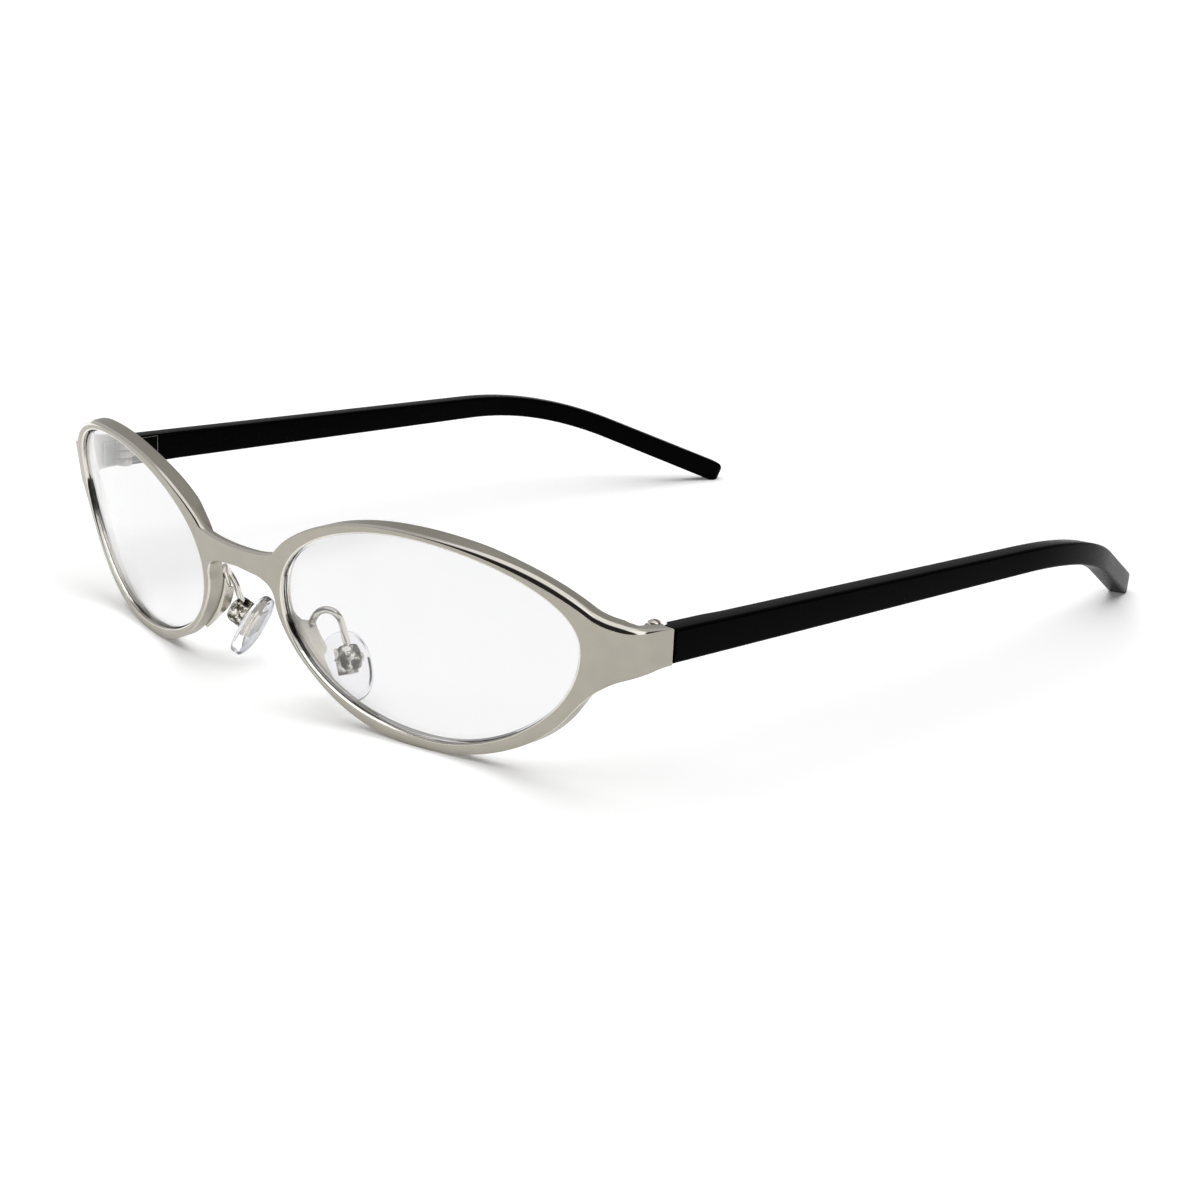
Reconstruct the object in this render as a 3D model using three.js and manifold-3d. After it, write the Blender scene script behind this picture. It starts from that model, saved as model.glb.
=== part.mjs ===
// Oval full-rim metal spectacle frame with clear lenses and slim black plastic temples.
// Millimetres, +Z up, the front faces -Y and +X is the wearer's left.
// The left pieces are modelled and the right ones are their mirror images.
import * as THREE from 'three';
import { mergeGeometries, mergeVertices } from 'three/addons/utils/BufferGeometryUtils.js';
import Module from 'manifold-3d';

// Front: sizes along the wrap of the front and up in its own tilted plane
const EYE_WIDTH = 50.5;
const EYE_HEIGHT = 29.3;
const BRIDGE_GAP = 19.3;
const RIM_BOTTOM = 1.6;
const RIM_TOP = 1.1;
const RIM_NASAL = 1.5;
const BRIDGE_RISE = 6.6;
const BRIDGE_HEIGHT = 2.8;
const FRONT_DEPTH = 2.6;
const TOP_BACK_FALL = 0.6;
const CHAMFER_BRIDGE = 0.2;
const CHAMFER_END = 0.75;
const CHAMFER_LOW = 0.1;
const CHAMFER_DEPTH = 0.8;
const BACK_RISE_BRIDGE = -0.45;
const BACK_RISE_RUN = 0.72;
const WRAP_RADIUS = 153.8;
const PANTO_TILT = THREE.MathUtils.degToRad(8.8);
const REST_FLAT = 0.15;

// End pieces, which carry the front round to the temples
const FRONT_WIDTH = 132;
const END_BEND_RADIUS = 4;
const END_LENGTH = 3.9;
const END_HEIGHT = 4.7;
const END_RISE = 1.7;

// Lenses in a groove of the rims
const GROOVE_DEPTH = 0.6;
const GROOVE_WIDTH = 1.4;
const LENS_THICKNESS = 1.2;
const LENS_BULGE = 0.8;
const LENS_CLEARANCE = 0.2;

// Hinges at the end pieces
const HINGE_HEIGHT = 4;
const KNUCKLE_RADIUS = 1.3;
const KNUCKLE_GAP = 0.2;
const LEAF_THICKNESS = 0.8;
const FRONT_LEAF_LENGTH = 3;
const TEMPLE_LEAF_LENGTH = 5.6;
const HINGE_SCREW_RADIUS = 0.5;
const SCREW_HEAD_RADIUS = 0.9;
const SCREW_HEAD_HEIGHT = 0.7;
const SCREW_SLOT = 0.3;
const FIT_CLEARANCE = 0.12;
const SEAT_GAP = 0.05;
const TURN_CLEARANCE = 0.3;

// Temples
const TEMPLE_THICKNESS = 3.2;
const TEMPLE_HEIGHT_FRONT = 4.8;
const TEMPLE_HEIGHT_BEND = 3.6;
const TEMPLE_HEIGHT_TIP = 3.9;
const TEMPLE_EDGE = 0.7;
const TEMPLE_STRAIGHT = 95.5;
const TEMPLE_SLOPE = THREE.MathUtils.degToRad(-1.35);
const TIP_LENGTH = 44;
const TIP_TURN_IN = THREE.MathUtils.degToRad(23);
const TIP_BEND_REACH = 17.5;
const TIP_ROUND = 1.6;
const JOINT_GAP = 0.3;
const CORE_RADIUS = 0.55;
const CORE_CLEARANCE = 0.2;
const CORE_END = 12;

// Nose pads, each on a wire arm behind the lower inner rim
const PAD_LENGTH = 10.4;
const PAD_WIDTH = 7.2;
const PAD_THICKNESS = 2;
const PAD_FROM_CENTRE = 11.8;
const PAD_BEHIND_FRONT = 9;
const PAD_HEIGHT = 4.45;
const PAD_FRONTAL_ANGLE = THREE.MathUtils.degToRad(29);
const PAD_SPLAY_ANGLE = THREE.MathUtils.degToRad(22);
const PAD_LEAN_ANGLE = THREE.MathUtils.degToRad(17);
const BOX_WIDTH = 3.4;
const BOX_LENGTH = 3.7;
const BOX_ABOVE_PAD_CENTRE = 0.85;
const BOX_WALL = 0.9;
const INSERT_WIDTH = 3;
const INSERT_LENGTH = 4;
const INSERT_THICKNESS = 0.5;
const LUG_REACH = 0.6;
const LUG_RADIUS = 0.8;
const LUG_THICKNESS = 0.9;
const PAD_SCREW_RADIUS = 0.35;
const PAD_SCREW_HEAD_RADIUS = 0.65;
const PAD_SCREW_HEAD_HEIGHT = 0.4;
const ARM_WIRE_RADIUS = 0.52;
const ARM_LEAF_IN_RIM = 0.55;
const ARM_LEAF_THICKNESS = 0.8;
const ARM_LEAF_SPLAY = THREE.MathUtils.degToRad(24);

// Facets
const OUTLINE_STEPS = 11;
const EYE_STEPS = 90;
const LENS_SIDES = 48;
const CUT_STEPS = 4;
const BEND_STEPS = 6;
const TEMPLE_STEPS = 8;
const CORE_SIDES = 8;
const PAD_SIDES = 28;
const WIRE_STEPS = 18;
const ROUND_SIDES = 20;
const SMALL_SIDES = 12;

const wasm = await Module();
wasm.setup();

function toSolid(geometry) {
  const bare = geometry.clone();
  bare.deleteAttribute('normal');
  bare.deleteAttribute('uv');
  const merged = mergeVertices(bare, 1e-4);
  const vertProperties = new Float32Array(merged.attributes.position.array);
  const triVerts = new Uint32Array(merged.index.array);
  return new wasm.Manifold(new wasm.Mesh({ numProp: 3, vertProperties, triVerts }));
}

function toGeometry(solid) {
  const mesh = solid.getMesh();
  const geometry = new THREE.BufferGeometry();
  geometry.setAttribute('position', new THREE.BufferAttribute(new Float32Array(mesh.vertProperties), 3));
  geometry.setIndex(new THREE.BufferAttribute(new Uint32Array(mesh.triVerts), 1));
  return geometry;
}

function join(...geometries) {
  return toGeometry(geometries.map(toSolid).reduce((whole, next) => whole.add(next)));
}

function cut(geometry, ...tools) {
  return toGeometry(tools.map(toSolid).reduce((rest, tool) => rest.subtract(tool), toSolid(geometry)));
}

// A box given by its lowest and highest corners
function block(low, high) {
  const geometry = new THREE.BoxGeometry(high[0] - low[0], high[1] - low[1], high[2] - low[2]);
  return geometry.translate((low[0] + high[0]) / 2, (low[1] + high[1]) / 2, (low[2] + high[2]) / 2);
}

// An upright cylinder from one height to another
function post(radius, x, y, low, high, sides = ROUND_SIDES) {
  const geometry = new THREE.CylinderGeometry(radius, radius, high - low, sides);
  return geometry.rotateX(Math.PI / 2).translate(x, y, (low + high) / 2);
}

// Skins closed rings of points in order and caps both ends
function loft(rings) {
  const count = rings[0].length;
  const positions = rings.flat().flatMap((point) => point.toArray());
  const index = [];
  const last = (rings.length - 1) * count;
  for (let here = 0; here < last; here += count) {
    const next = here + count;
    for (let k = 0; k < count; k += 1) {
      const far = (k + 1) % count;
      index.push(here + k, here + far, next + far, here + k, next + far, next + k);
    }
  }
  for (let k = 1; k < count - 1; k += 1) {
    index.push(0, k + 1, k, last, last + k, last + k + 1);
  }
  const geometry = new THREE.BufferGeometry();
  geometry.setAttribute('position', new THREE.Float32BufferAttribute(positions, 3));
  geometry.setIndex(index);
  return facingOut(geometry);
}

function flipped(geometry) {
  const index = geometry.index.array;
  for (let i = 0; i < index.length; i += 3) {
    [index[i + 1], index[i + 2]] = [index[i + 2], index[i + 1]];
  }
  return geometry;
}

function facingOut(geometry) {
  const place = geometry.attributes.position;
  const index = geometry.index.array;
  const [a, b, c] = [new THREE.Vector3(), new THREE.Vector3(), new THREE.Vector3()];
  let volume = 0;
  for (let i = 0; i < index.length; i += 3) {
    a.fromBufferAttribute(place, index[i]);
    b.fromBufferAttribute(place, index[i + 1]);
    c.fromBufferAttribute(place, index[i + 2]);
    volume += a.dot(b.cross(c));
  }
  return volume < 0 ? flipped(geometry) : geometry;
}

// A smooth run of curves through knots: a place, a heading in degrees and a reach either side
function curveThrough(knots) {
  const path = new THREE.Path();
  path.moveTo(...knots[0].at);
  for (let i = 1; i < knots.length; i += 1) {
    const [from, to] = [knots[i - 1], knots[i]];
    const leave = THREE.MathUtils.degToRad(from.heading);
    const arrive = THREE.MathUtils.degToRad(to.heading);
    path.bezierCurveTo(
      from.at[0] + from.ahead * Math.cos(leave),
      from.at[1] + from.ahead * Math.sin(leave),
      to.at[0] - to.back * Math.cos(arrive),
      to.at[1] - to.back * Math.sin(arrive),
      ...to.at,
    );
  }
  return path;
}

// The eye opening
const eyeNasal = BRIDGE_GAP / 2;
const eyeTemporal = eyeNasal + EYE_WIDTH;
const eyeTop = RIM_BOTTOM + EYE_HEIGHT;
const eyeMiddle = new THREE.Vector2((eyeNasal + eyeTemporal) / 2, (RIM_BOTTOM + eyeTop) / 2);
const halfWidth = EYE_WIDTH / 2;
const halfHeight = EYE_HEIGHT / 2;

const eyeNasalKnot = {
  at: [eyeNasal, eyeMiddle.y + 0.04 * halfHeight],
  heading: 90,
  back: 0.6 * halfHeight,
  ahead: 0.65 * halfHeight,
};
const eyePath = curveThrough([
  eyeNasalKnot,
  {
    at: [eyeMiddle.x - 0.047 * halfWidth, eyeTop + 0.016 * halfHeight],
    heading: 0,
    back: 0.43 * halfWidth,
    ahead: 0.486 * halfWidth,
  },
  {
    at: [eyeTemporal - 0.0085 * halfWidth, eyeMiddle.y + 0.21 * halfHeight],
    heading: -90,
    back: 0.453 * halfHeight,
    ahead: 0.6 * halfHeight,
  },
  { at: [eyeMiddle.x, RIM_BOTTOM], heading: 180, back: 0.53 * halfWidth, ahead: 0.55 * halfWidth },
  eyeNasalKnot,
]);

// The edges of the front face, from the bridge's middle to the end piece's end
const bendAngle = Math.asin((FRONT_WIDTH / 2 - END_BEND_RADIUS) / (WRAP_RADIUS - END_BEND_RADIUS));
const bendStart = WRAP_RADIUS * bendAngle;
const bendEnd = bendStart + END_BEND_RADIUS * (Math.PI / 2 - bendAngle);
const endAlong = bendEnd + END_LENGTH;
const endMiddle = eyeMiddle.y + END_RISE;
const bridgeTop = eyeMiddle.y + BRIDGE_RISE;

const topEdge = curveThrough([
  { at: [0, bridgeTop], heading: 0, ahead: 0.6 * eyeNasal },
  { at: [eyeNasal - RIM_NASAL / 3, bridgeTop + EYE_HEIGHT / 23], heading: 50, back: 0.8, ahead: 3 },
  {
    at: [eyeMiddle.x - 0.1 * halfWidth, eyeTop + RIM_TOP],
    heading: 0,
    back: 0.51 * halfWidth,
    ahead: 0.47 * halfWidth,
  },
  {
    at: [eyeTemporal + RIM_TOP, eyeMiddle.y + 0.51 * halfHeight],
    heading: -36,
    back: 0.3 * halfWidth,
    ahead: 3.7,
  },
  { at: [endAlong, endMiddle + END_HEIGHT / 2], heading: -18, back: 6 },
]);
const lowEdge = curveThrough([
  { at: [0, bridgeTop - BRIDGE_HEIGHT], heading: 0, ahead: 0.53 * eyeNasal },
  {
    at: [eyeNasal - RIM_NASAL, eyeMiddle.y + 0.02 * halfHeight],
    heading: -90,
    back: 0.19 * halfHeight,
    ahead: 0.32 * halfHeight,
  },
  { at: [eyeMiddle.x - 0.06 * halfWidth, 0], heading: 0, back: 0.65 * halfWidth, ahead: 0.42 * halfWidth },
  {
    at: [eyeTemporal - 0.1 * halfWidth, eyeMiddle.y - 0.48 * halfHeight],
    heading: 49,
    back: 0.3 * halfWidth,
    ahead: 7.5,
  },
  { at: [endAlong, endMiddle - END_HEIGHT / 2], heading: -10, back: 7 },
]);

// A place on the front: along the wrap from its middle, up in its plane, and behind its face
function onWrap(along, height, depth) {
  if (along <= bendStart) {
    const angle = along / WRAP_RADIUS;
    const reach = WRAP_RADIUS - depth;
    return new THREE.Vector3(reach * Math.sin(angle), WRAP_RADIUS - reach * Math.cos(angle), height);
  }
  const centreX = FRONT_WIDTH / 2 - END_BEND_RADIUS;
  const centreY = WRAP_RADIUS - (WRAP_RADIUS - END_BEND_RADIUS) * Math.cos(bendAngle);
  const reach = END_BEND_RADIUS - depth;
  const angle = bendAngle + (Math.min(along, bendEnd) - bendStart) / END_BEND_RADIUS;
  const beyond = Math.max(along - bendEnd, 0);
  return new THREE.Vector3(
    centreX + reach * Math.sin(angle), centreY - reach * Math.cos(angle) + beyond, height,
  );
}

function unit(vector) {
  return vector.clone().normalize();
}

// Moves each point of an open outline sideways, to the left of its run for positive amounts
function offsetOutline(points, amountAt) {
  return points.map((point, i) => {
    const run = unit(points[Math.min(i + 1, points.length - 1)].clone().sub(points[Math.max(i - 1, 0)]));
    const amount = amountAt(point.x);
    return new THREE.Vector2(point.x - run.y * amount, point.y + run.x * amount);
  });
}

function heightAt(points, along) {
  const next = Math.max(points.findIndex((point, i) => i > 0 && point.x >= along), 1);
  const [a, b] = [points[next - 1], points[next]];
  return a.y + ((b.y - a.y) * (along - a.x)) / (b.x - a.x);
}

const topCrease = topEdge.getPoints(OUTLINE_STEPS);
const lowCrease = lowEdge.getPoints(OUTLINE_STEPS);
const towardsEnd = (along) => THREE.MathUtils.smoothstep(along, eyeMiddle.x, eyeTemporal);
const chamferAt = (along) => THREE.MathUtils.lerp(
  THREE.MathUtils.lerp(CHAMFER_BRIDGE, CHAMFER_END, towardsEnd(along)),
  CHAMFER_LOW,
  THREE.MathUtils.smoothstep(along, bendStart, bendEnd),
);
const backRiseAt = (along) => THREE.MathUtils.lerp(
  BACK_RISE_BRIDGE,
  chamferAt(along),
  THREE.MathUtils.clamp((along - eyeNasal) / (BACK_RISE_RUN * EYE_WIDTH), 0, 1),
);
const topDepthAt = (along) => FRONT_DEPTH - TOP_BACK_FALL * (1 - towardsEnd(along));
const topWall = offsetOutline(topCrease, chamferAt);
const topBack = offsetOutline(topCrease, backRiseAt);
const lowWall = offsetOutline(lowCrease, () => -CHAMFER_LOW);
topWall[0].x = 0;
topBack[0].x = 0;
lowWall[0].x = 0;

// The eye's turn round its middle, on an oval scale, for pairing inner and outer points
function turnOf(point) {
  return Math.atan2((point.y - eyeMiddle.y) / halfHeight, (point.x - eyeMiddle.x) / halfWidth);
}

const eyePoints = eyePath.getPoints(EYE_STEPS).slice(0, -1);
function eyeAt(turn) {
  const wanted = Math.atan2(Math.sin(turn), Math.cos(turn));
  for (let i = 0; i < eyePoints.length; i += 1) {
    const [a, b] = [eyePoints[i], eyePoints[(i + 1) % eyePoints.length]];
    const from = turnOf(a);
    const drop = Math.atan2(Math.sin(from - turnOf(b)), Math.cos(from - turnOf(b)));
    const gone = Math.atan2(Math.sin(from - wanted), Math.cos(from - wanted));
    if (gone >= 0 && gone < drop) {
      return a.clone().lerp(b, gone / drop);
    }
  }
  return eyePoints[0].clone();
}

// The eye's outline moved outwards by an amount
function eyeOutwards(turn, amount) {
  const step = 0.02;
  const run = unit(eyeAt(turn - step).sub(eyeAt(turn + step)));
  return eyeAt(turn).add(new THREE.Vector2(-run.y * amount, run.x * amount));
}

const grooveMiddle = FRONT_DEPTH / 2;
const overlap = 0.02;

// Half of the front: the rim with its half of the bridge, and past a straight line the end piece,
// which bends round to the temple and is cut upright when the front is tilted
const rimCut = eyeTemporal + 2 * RIM_TOP;

function rimSections() {
  const outer = [];
  const add = (crease, wall, rear = wall, back = FRONT_DEPTH, atCut = false) => (
    outer.push({ crease, wall, rear, back, atCut })
  );
  topCrease.forEach((point, i) => point.x < rimCut && add(point, topWall[i], topBack[i], topDepthAt(point.x)));
  for (let i = 0; i <= CUT_STEPS; i += 1) {
    const [crease, wall] = acrossEnd(rimCut, i / CUT_STEPS);
    const outside = new THREE.Vector2(rimCut, wall);
    add(new THREE.Vector2(rimCut, crease), outside, outside, FRONT_DEPTH, i < CUT_STEPS);
  }
  for (let i = lowCrease.length - 1; i >= 0; i -= 1) {
    if (lowCrease[i].x < rimCut) add(lowCrease[i], lowWall[i]);
  }
  let turn = Infinity;
  return outer.map(({ crease, wall, rear, back, atCut }) => {
    let wanted = turnOf(crease);
    while (wanted > turn + Math.PI / 2) wanted -= 2 * Math.PI;
    turn = Math.min(wanted, turn - 0.001);
    const eye = eyeAt(turn);
    const groove = eyeOutwards(turn, GROOVE_DEPTH);
    const ring = [
      onWrap(eye.x, eye.y, 0),
      onWrap(crease.x, crease.y, 0),
      onWrap(wall.x, wall.y, CHAMFER_DEPTH),
      onWrap(rear.x, rear.y, back),
      onWrap(eye.x, eye.y, FRONT_DEPTH),
      onWrap(eye.x, eye.y, grooveMiddle + GROOVE_WIDTH / 2),
      onWrap(groove.x, groove.y, grooveMiddle),
      onWrap(eye.x, eye.y, grooveMiddle - GROOVE_WIDTH / 2),
    ];
    return { ring, atCut };
  });
}

// Heights of the face and of the wall behind it, from the top edge down by a share
function acrossEnd(along, share) {
  const place = Math.min(along, endAlong - 0.001);
  return [[topCrease, lowCrease], [topWall, lowWall]].map(([top, low]) => (
    THREE.MathUtils.lerp(heightAt(top, place), heightAt(low, place), share)
  ));
}

function endSection(along) {
  const at = (share, row, depth) => {
    const height = acrossEnd(along, share)[row];
    const slant = along === endAlong ? (height - endMiddle) * Math.tan(PANTO_TILT) : 0;
    return onWrap(along + slant, height, depth);
  };
  const shares = Array.from({ length: CUT_STEPS + 1 }, (_, i) => i / CUT_STEPS);
  return [
    ...shares.map((share) => at(share, 0, 0)),
    at(1, 1, CHAMFER_DEPTH),
    ...shares.map((share) => at(1 - share, 1, FRONT_DEPTH)),
    at(0, 1, CHAMFER_DEPTH),
  ];
}

function halfFront() {
  const triangles = [];
  const quad = (a, b, c, d) => triangles.push(a, b, c, a, c, d);
  const rimRings = rimSections();
  rimRings.forEach(({ ring, atCut }, i) => {
    const next = rimRings[(i + 1) % rimRings.length].ring;
    const open = atCut || i === rimRings.length - 1;
    ring.forEach((point, k) => {
      const far = (k + 1) % ring.length;
      const outerWall = k === 1 || k === 2;
      if (!(open && outerWall)) quad(point, ring[far], next[far], next[k]);
    });
  });
  const stations = [rimCut, (rimCut + bendStart) / 2];
  for (let i = 0; i <= BEND_STEPS; i += 1) {
    stations.push(THREE.MathUtils.lerp(bendStart, bendEnd, i / BEND_STEPS));
  }
  stations.push(endAlong);
  const endRings = stations.map(endSection);
  endRings.slice(1).forEach((next, i) => endRings[i].forEach((point, k) => {
    const far = (k + 1) % next.length;
    quad(endRings[i][far], point, next[k], next[far]);
  }));
  const last = endRings.at(-1);
  const middle = last.reduce((sum, point) => sum.add(point), new THREE.Vector3()).divideScalar(last.length);
  last.forEach((point, k) => triangles.push(point, middle, last[(k + 1) % last.length]));
  return triangles;
}

function mirrored(geometry) {
  return flipped(geometry.clone().scale(-1, 1, 1));
}

// The two halves meet on the middle plane
function bothHalves(triangles) {
  const half = new THREE.BufferGeometry().setFromPoints(triangles);
  half.setIndex(triangles.map((_, i) => i));
  const other = mirrored(half);
  return facingOut(mergeVertices(mergeGeometries([half, other]), 1e-4));
}

const wholeFront = bothHalves(halfFront());

// The front leans forward at the top; its rims are cut level where they stand
wholeFront.rotateX(PANTO_TILT);
wholeFront.computeBoundingBox();
const frontLift = -REST_FLAT - wholeFront.boundingBox.min.z;
const tilt = new THREE.Matrix4().makeRotationX(PANTO_TILT).setPosition(0, 0, frontLift);
const floorCut = block([-FRONT_WIDTH, -FRONT_WIDTH, -FRONT_WIDTH], [FRONT_WIDTH, FRONT_WIDTH, 0]);
const frontFrame = cut(wholeFront.translate(0, 0, frontLift), floorCut);

// A closed disc from rings of one outline, each with a scale, an outward offset and a depth
function disc(outlineAt, sides, profile, place) {
  const rings = profile.map((step) => {
    const ring = [];
    for (let k = 0; k < sides; k += 1) {
      ring.push(place(outlineAt((-2 * Math.PI * k) / sides, step), step.depth));
    }
    return ring;
  });
  return loft(rings);
}

// A lens: bevelled edge in the groove, both faces crowned
function lens() {
  const edge = GROOVE_DEPTH - LENS_CLEARANCE;
  const front = grooveMiddle - LENS_THICKNESS / 2;
  const crown = (scale) => LENS_BULGE * (1 - scale * scale);
  const bevel = (GROOVE_WIDTH / 2) * (edge + LENS_CLEARANCE) / GROOVE_DEPTH;
  const scales = [0.08, 0.4, 0.7, 1];
  const face = (behind) => scales.map((scale) => (
    { scale, outwards: -LENS_CLEARANCE, depth: front + behind - crown(scale) }
  ));
  const profile = [
    ...face(0),
    { scale: 1, outwards: -LENS_CLEARANCE, depth: grooveMiddle - bevel + LENS_CLEARANCE },
    { scale: 1, outwards: edge, depth: grooveMiddle },
    { scale: 1, outwards: -LENS_CLEARANCE, depth: grooveMiddle + bevel - LENS_CLEARANCE },
    ...face(LENS_THICKNESS).reverse(),
  ];
  const outlineAt = (turn, step) => {
    const point = eyeOutwards(turn, step.outwards);
    return point.sub(eyeMiddle).multiplyScalar(step.scale).add(eyeMiddle);
  };
  const place = (point, depth) => onWrap(point.x, point.y, depth);
  return disc(outlineAt, LENS_SIDES, profile, place).applyMatrix4(tilt);
}

// Hinge: its axis is upright, just inside the end piece, in the joint between front and temple
const endCorner = onWrap(endAlong, endMiddle, 0).applyMatrix4(tilt);
const endInside = FRONT_WIDTH / 2 - FRONT_DEPTH;
const axisX = endInside - SEAT_GAP - KNUCKLE_RADIUS;
const axisY = endCorner.y + JOINT_GAP / 2;
const hingeLow = endCorner.z - HINGE_HEIGHT / 2;
const hingeHigh = endCorner.z + HINGE_HEIGHT / 2;
const knuckleHeight = (HINGE_HEIGHT - 2 * KNUCKLE_GAP) / 3;
const middleLow = hingeLow + knuckleHeight + KNUCKLE_GAP;
const middleHigh = middleLow + knuckleHeight;
const templeInside = FRONT_WIDTH / 2 - TEMPLE_THICKNESS;
const templeStart = endCorner.y + JOINT_GAP;
const plateFront = axisY + KNUCKLE_RADIUS + TURN_CLEARANCE;
const plateBack = plateFront + TEMPLE_LEAF_LENGTH;
const boreRadius = HINGE_SCREW_RADIUS + FIT_CLEARANCE;
const screwBore = post(
  boreRadius, axisX, axisY, hingeLow - HINGE_HEIGHT, hingeHigh + HINGE_HEIGHT, SMALL_SIDES,
);

function frontHinge() {
  const leafBack = endCorner.y - JOINT_GAP;
  const leafFront = leafBack - FRONT_LEAF_LENGTH;
  const leafOutside = endInside - SEAT_GAP;
  const leaf = block([leafOutside - LEAF_THICKNESS, leafFront, hingeLow], [leafOutside, leafBack, hingeHigh]);
  const root = block(
    [axisX, axisY - KNUCKLE_RADIUS, hingeLow], [leafOutside - overlap, leafBack - overlap, hingeHigh],
  );
  const barrel = post(KNUCKLE_RADIUS, axisX, axisY, hingeLow, hingeHigh);
  const room = post(
    KNUCKLE_RADIUS + TURN_CLEARANCE, axisX, axisY, middleLow - KNUCKLE_GAP, middleHigh + KNUCKLE_GAP,
  );
  return cut(join(leaf, root, barrel), room, screwBore);
}

function templeHinge() {
  const plate = block(
    [templeInside, plateFront, hingeLow], [templeInside + LEAF_THICKNESS, plateBack, hingeHigh],
  );
  const tongue = block(
    [axisX, axisY, middleLow],
    [templeInside + LEAF_THICKNESS - overlap, plateFront + LEAF_THICKNESS, middleHigh],
  );
  const barrel = post(KNUCKLE_RADIUS, axisX, axisY, middleLow, middleHigh);
  return cut(join(plate, tongue, barrel), screwBore);
}

// A slotted screw whose domed head stands on the upper knuckle
function hingeScrew() {
  const headLow = hingeHigh + SEAT_GAP;
  const profile = [
    [0, hingeLow], [HINGE_SCREW_RADIUS, hingeLow], [HINGE_SCREW_RADIUS, headLow],
    [SCREW_HEAD_RADIUS, headLow], [SCREW_HEAD_RADIUS, headLow + SCREW_HEAD_HEIGHT / 2],
    [SCREW_HEAD_RADIUS * 0.7, headLow + SCREW_HEAD_HEIGHT * 0.85], [0, headLow + SCREW_HEAD_HEIGHT],
  ].map(([radius, height]) => new THREE.Vector2(radius, height));
  const body = new THREE.LatheGeometry(profile, SMALL_SIDES).rotateX(Math.PI / 2).translate(axisX, axisY, 0);
  const slotLow = headLow + SCREW_HEAD_HEIGHT / 2;
  const slot = block(
    [axisX - 2 * SCREW_HEAD_RADIUS, axisY - SCREW_SLOT / 2, slotLow],
    [axisX + 2 * SCREW_HEAD_RADIUS, axisY + SCREW_SLOT / 2, slotLow + SCREW_HEAD_HEIGHT],
  );
  return cut(body, slot);
}

// Temple centre line: straight back, then bent down and in, ending on the floor
const templeAxis = new THREE.Vector3(0, Math.cos(TEMPLE_SLOPE), Math.sin(TEMPLE_SLOPE));
const templeRoot = new THREE.Vector3(FRONT_WIDTH / 2 - TEMPLE_THICKNESS / 2, templeStart, endCorner.z);
const templeBend = templeRoot.clone().addScaledVector(templeAxis, TEMPLE_STRAIGHT);
const tipRun = TIP_LENGTH - TIP_ROUND;
const tipRounding = [{ share: 0, scale: 1 }, { share: 0.6, scale: 0.85 }, { share: 1, scale: 0.55 }];
let tipDrop = 0;
for (let i = 0; i < 30; i += 1) {
  tipDrop = Math.min(...tipRounding.map(({ share, scale }) => Math.asin(
    (templeBend.z - ((scale * TEMPLE_HEIGHT_TIP) / 2) * Math.cos(tipDrop)) / (tipRun + share * TIP_ROUND),
  )));
}
const tipAxis = new THREE.Vector3(
  -Math.sin(TIP_TURN_IN) * Math.cos(tipDrop), Math.cos(TIP_TURN_IN) * Math.cos(tipDrop), -Math.sin(tipDrop),
);
const bendFrom = templeBend.clone().addScaledVector(templeAxis, -TIP_BEND_REACH);
const bendTo = templeBend.clone().addScaledVector(tipAxis, TIP_BEND_REACH);
const templeCurve = new THREE.QuadraticBezierCurve3(bendFrom, templeBend, bendTo);

// Stations along the temple: a place, a direction and the height of the section there
function templeStations() {
  const straightEnd = TEMPLE_STRAIGHT - TIP_BEND_REACH;
  const bendHeight = (along) => THREE.MathUtils.lerp(
    TEMPLE_HEIGHT_FRONT, TEMPLE_HEIGHT_BEND, Math.min(along / TEMPLE_STRAIGHT, 1),
  );
  const stations = [0, 0.5, 1].map((share) => ({
    at: templeRoot.clone().addScaledVector(templeAxis, straightEnd * share),
    run: templeAxis,
    height: bendHeight(straightEnd * share),
  }));
  for (let i = 1; i < TEMPLE_STEPS; i += 1) {
    const share = i / TEMPLE_STEPS;
    stations.push({
      at: templeCurve.getPoint(share),
      run: templeCurve.getTangent(share),
      height: bendHeight(straightEnd + 2 * TIP_BEND_REACH * share),
    });
  }
  const tipHeight = (along) => THREE.MathUtils.lerp(TEMPLE_HEIGHT_BEND, TEMPLE_HEIGHT_TIP, along / tipRun);
  [TIP_BEND_REACH, tipRun].forEach((along) => stations.push({
    at: templeBend.clone().addScaledVector(tipAxis, along), run: tipAxis, height: tipHeight(along),
  }));
  return stations;
}

// A section ring square to the run, with an outline of across and up pairs
function sectionRing(station, outline) {
  const side = unit(new THREE.Vector3().crossVectors(station.run, new THREE.Vector3(0, 0, 1)));
  const up = new THREE.Vector3().crossVectors(side, station.run);
  return outline.map(([across, rise]) => (
    station.at.clone().addScaledVector(side, across).addScaledVector(up, rise)
  ));
}

function bevelledBar(width, height, edge) {
  const [w, h] = [width / 2, height / 2];
  return [
    [-w + edge, -h], [w - edge, -h], [w, -h + edge], [w, h - edge],
    [w - edge, h], [-w + edge, h], [-w, h - edge], [-w, -h + edge],
  ];
}

function roundBar(radius, sides) {
  return Array.from({ length: sides }, (_, k) => {
    const angle = (2 * Math.PI * k) / sides;
    return [radius * Math.cos(angle), radius * Math.sin(angle)];
  });
}

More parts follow.
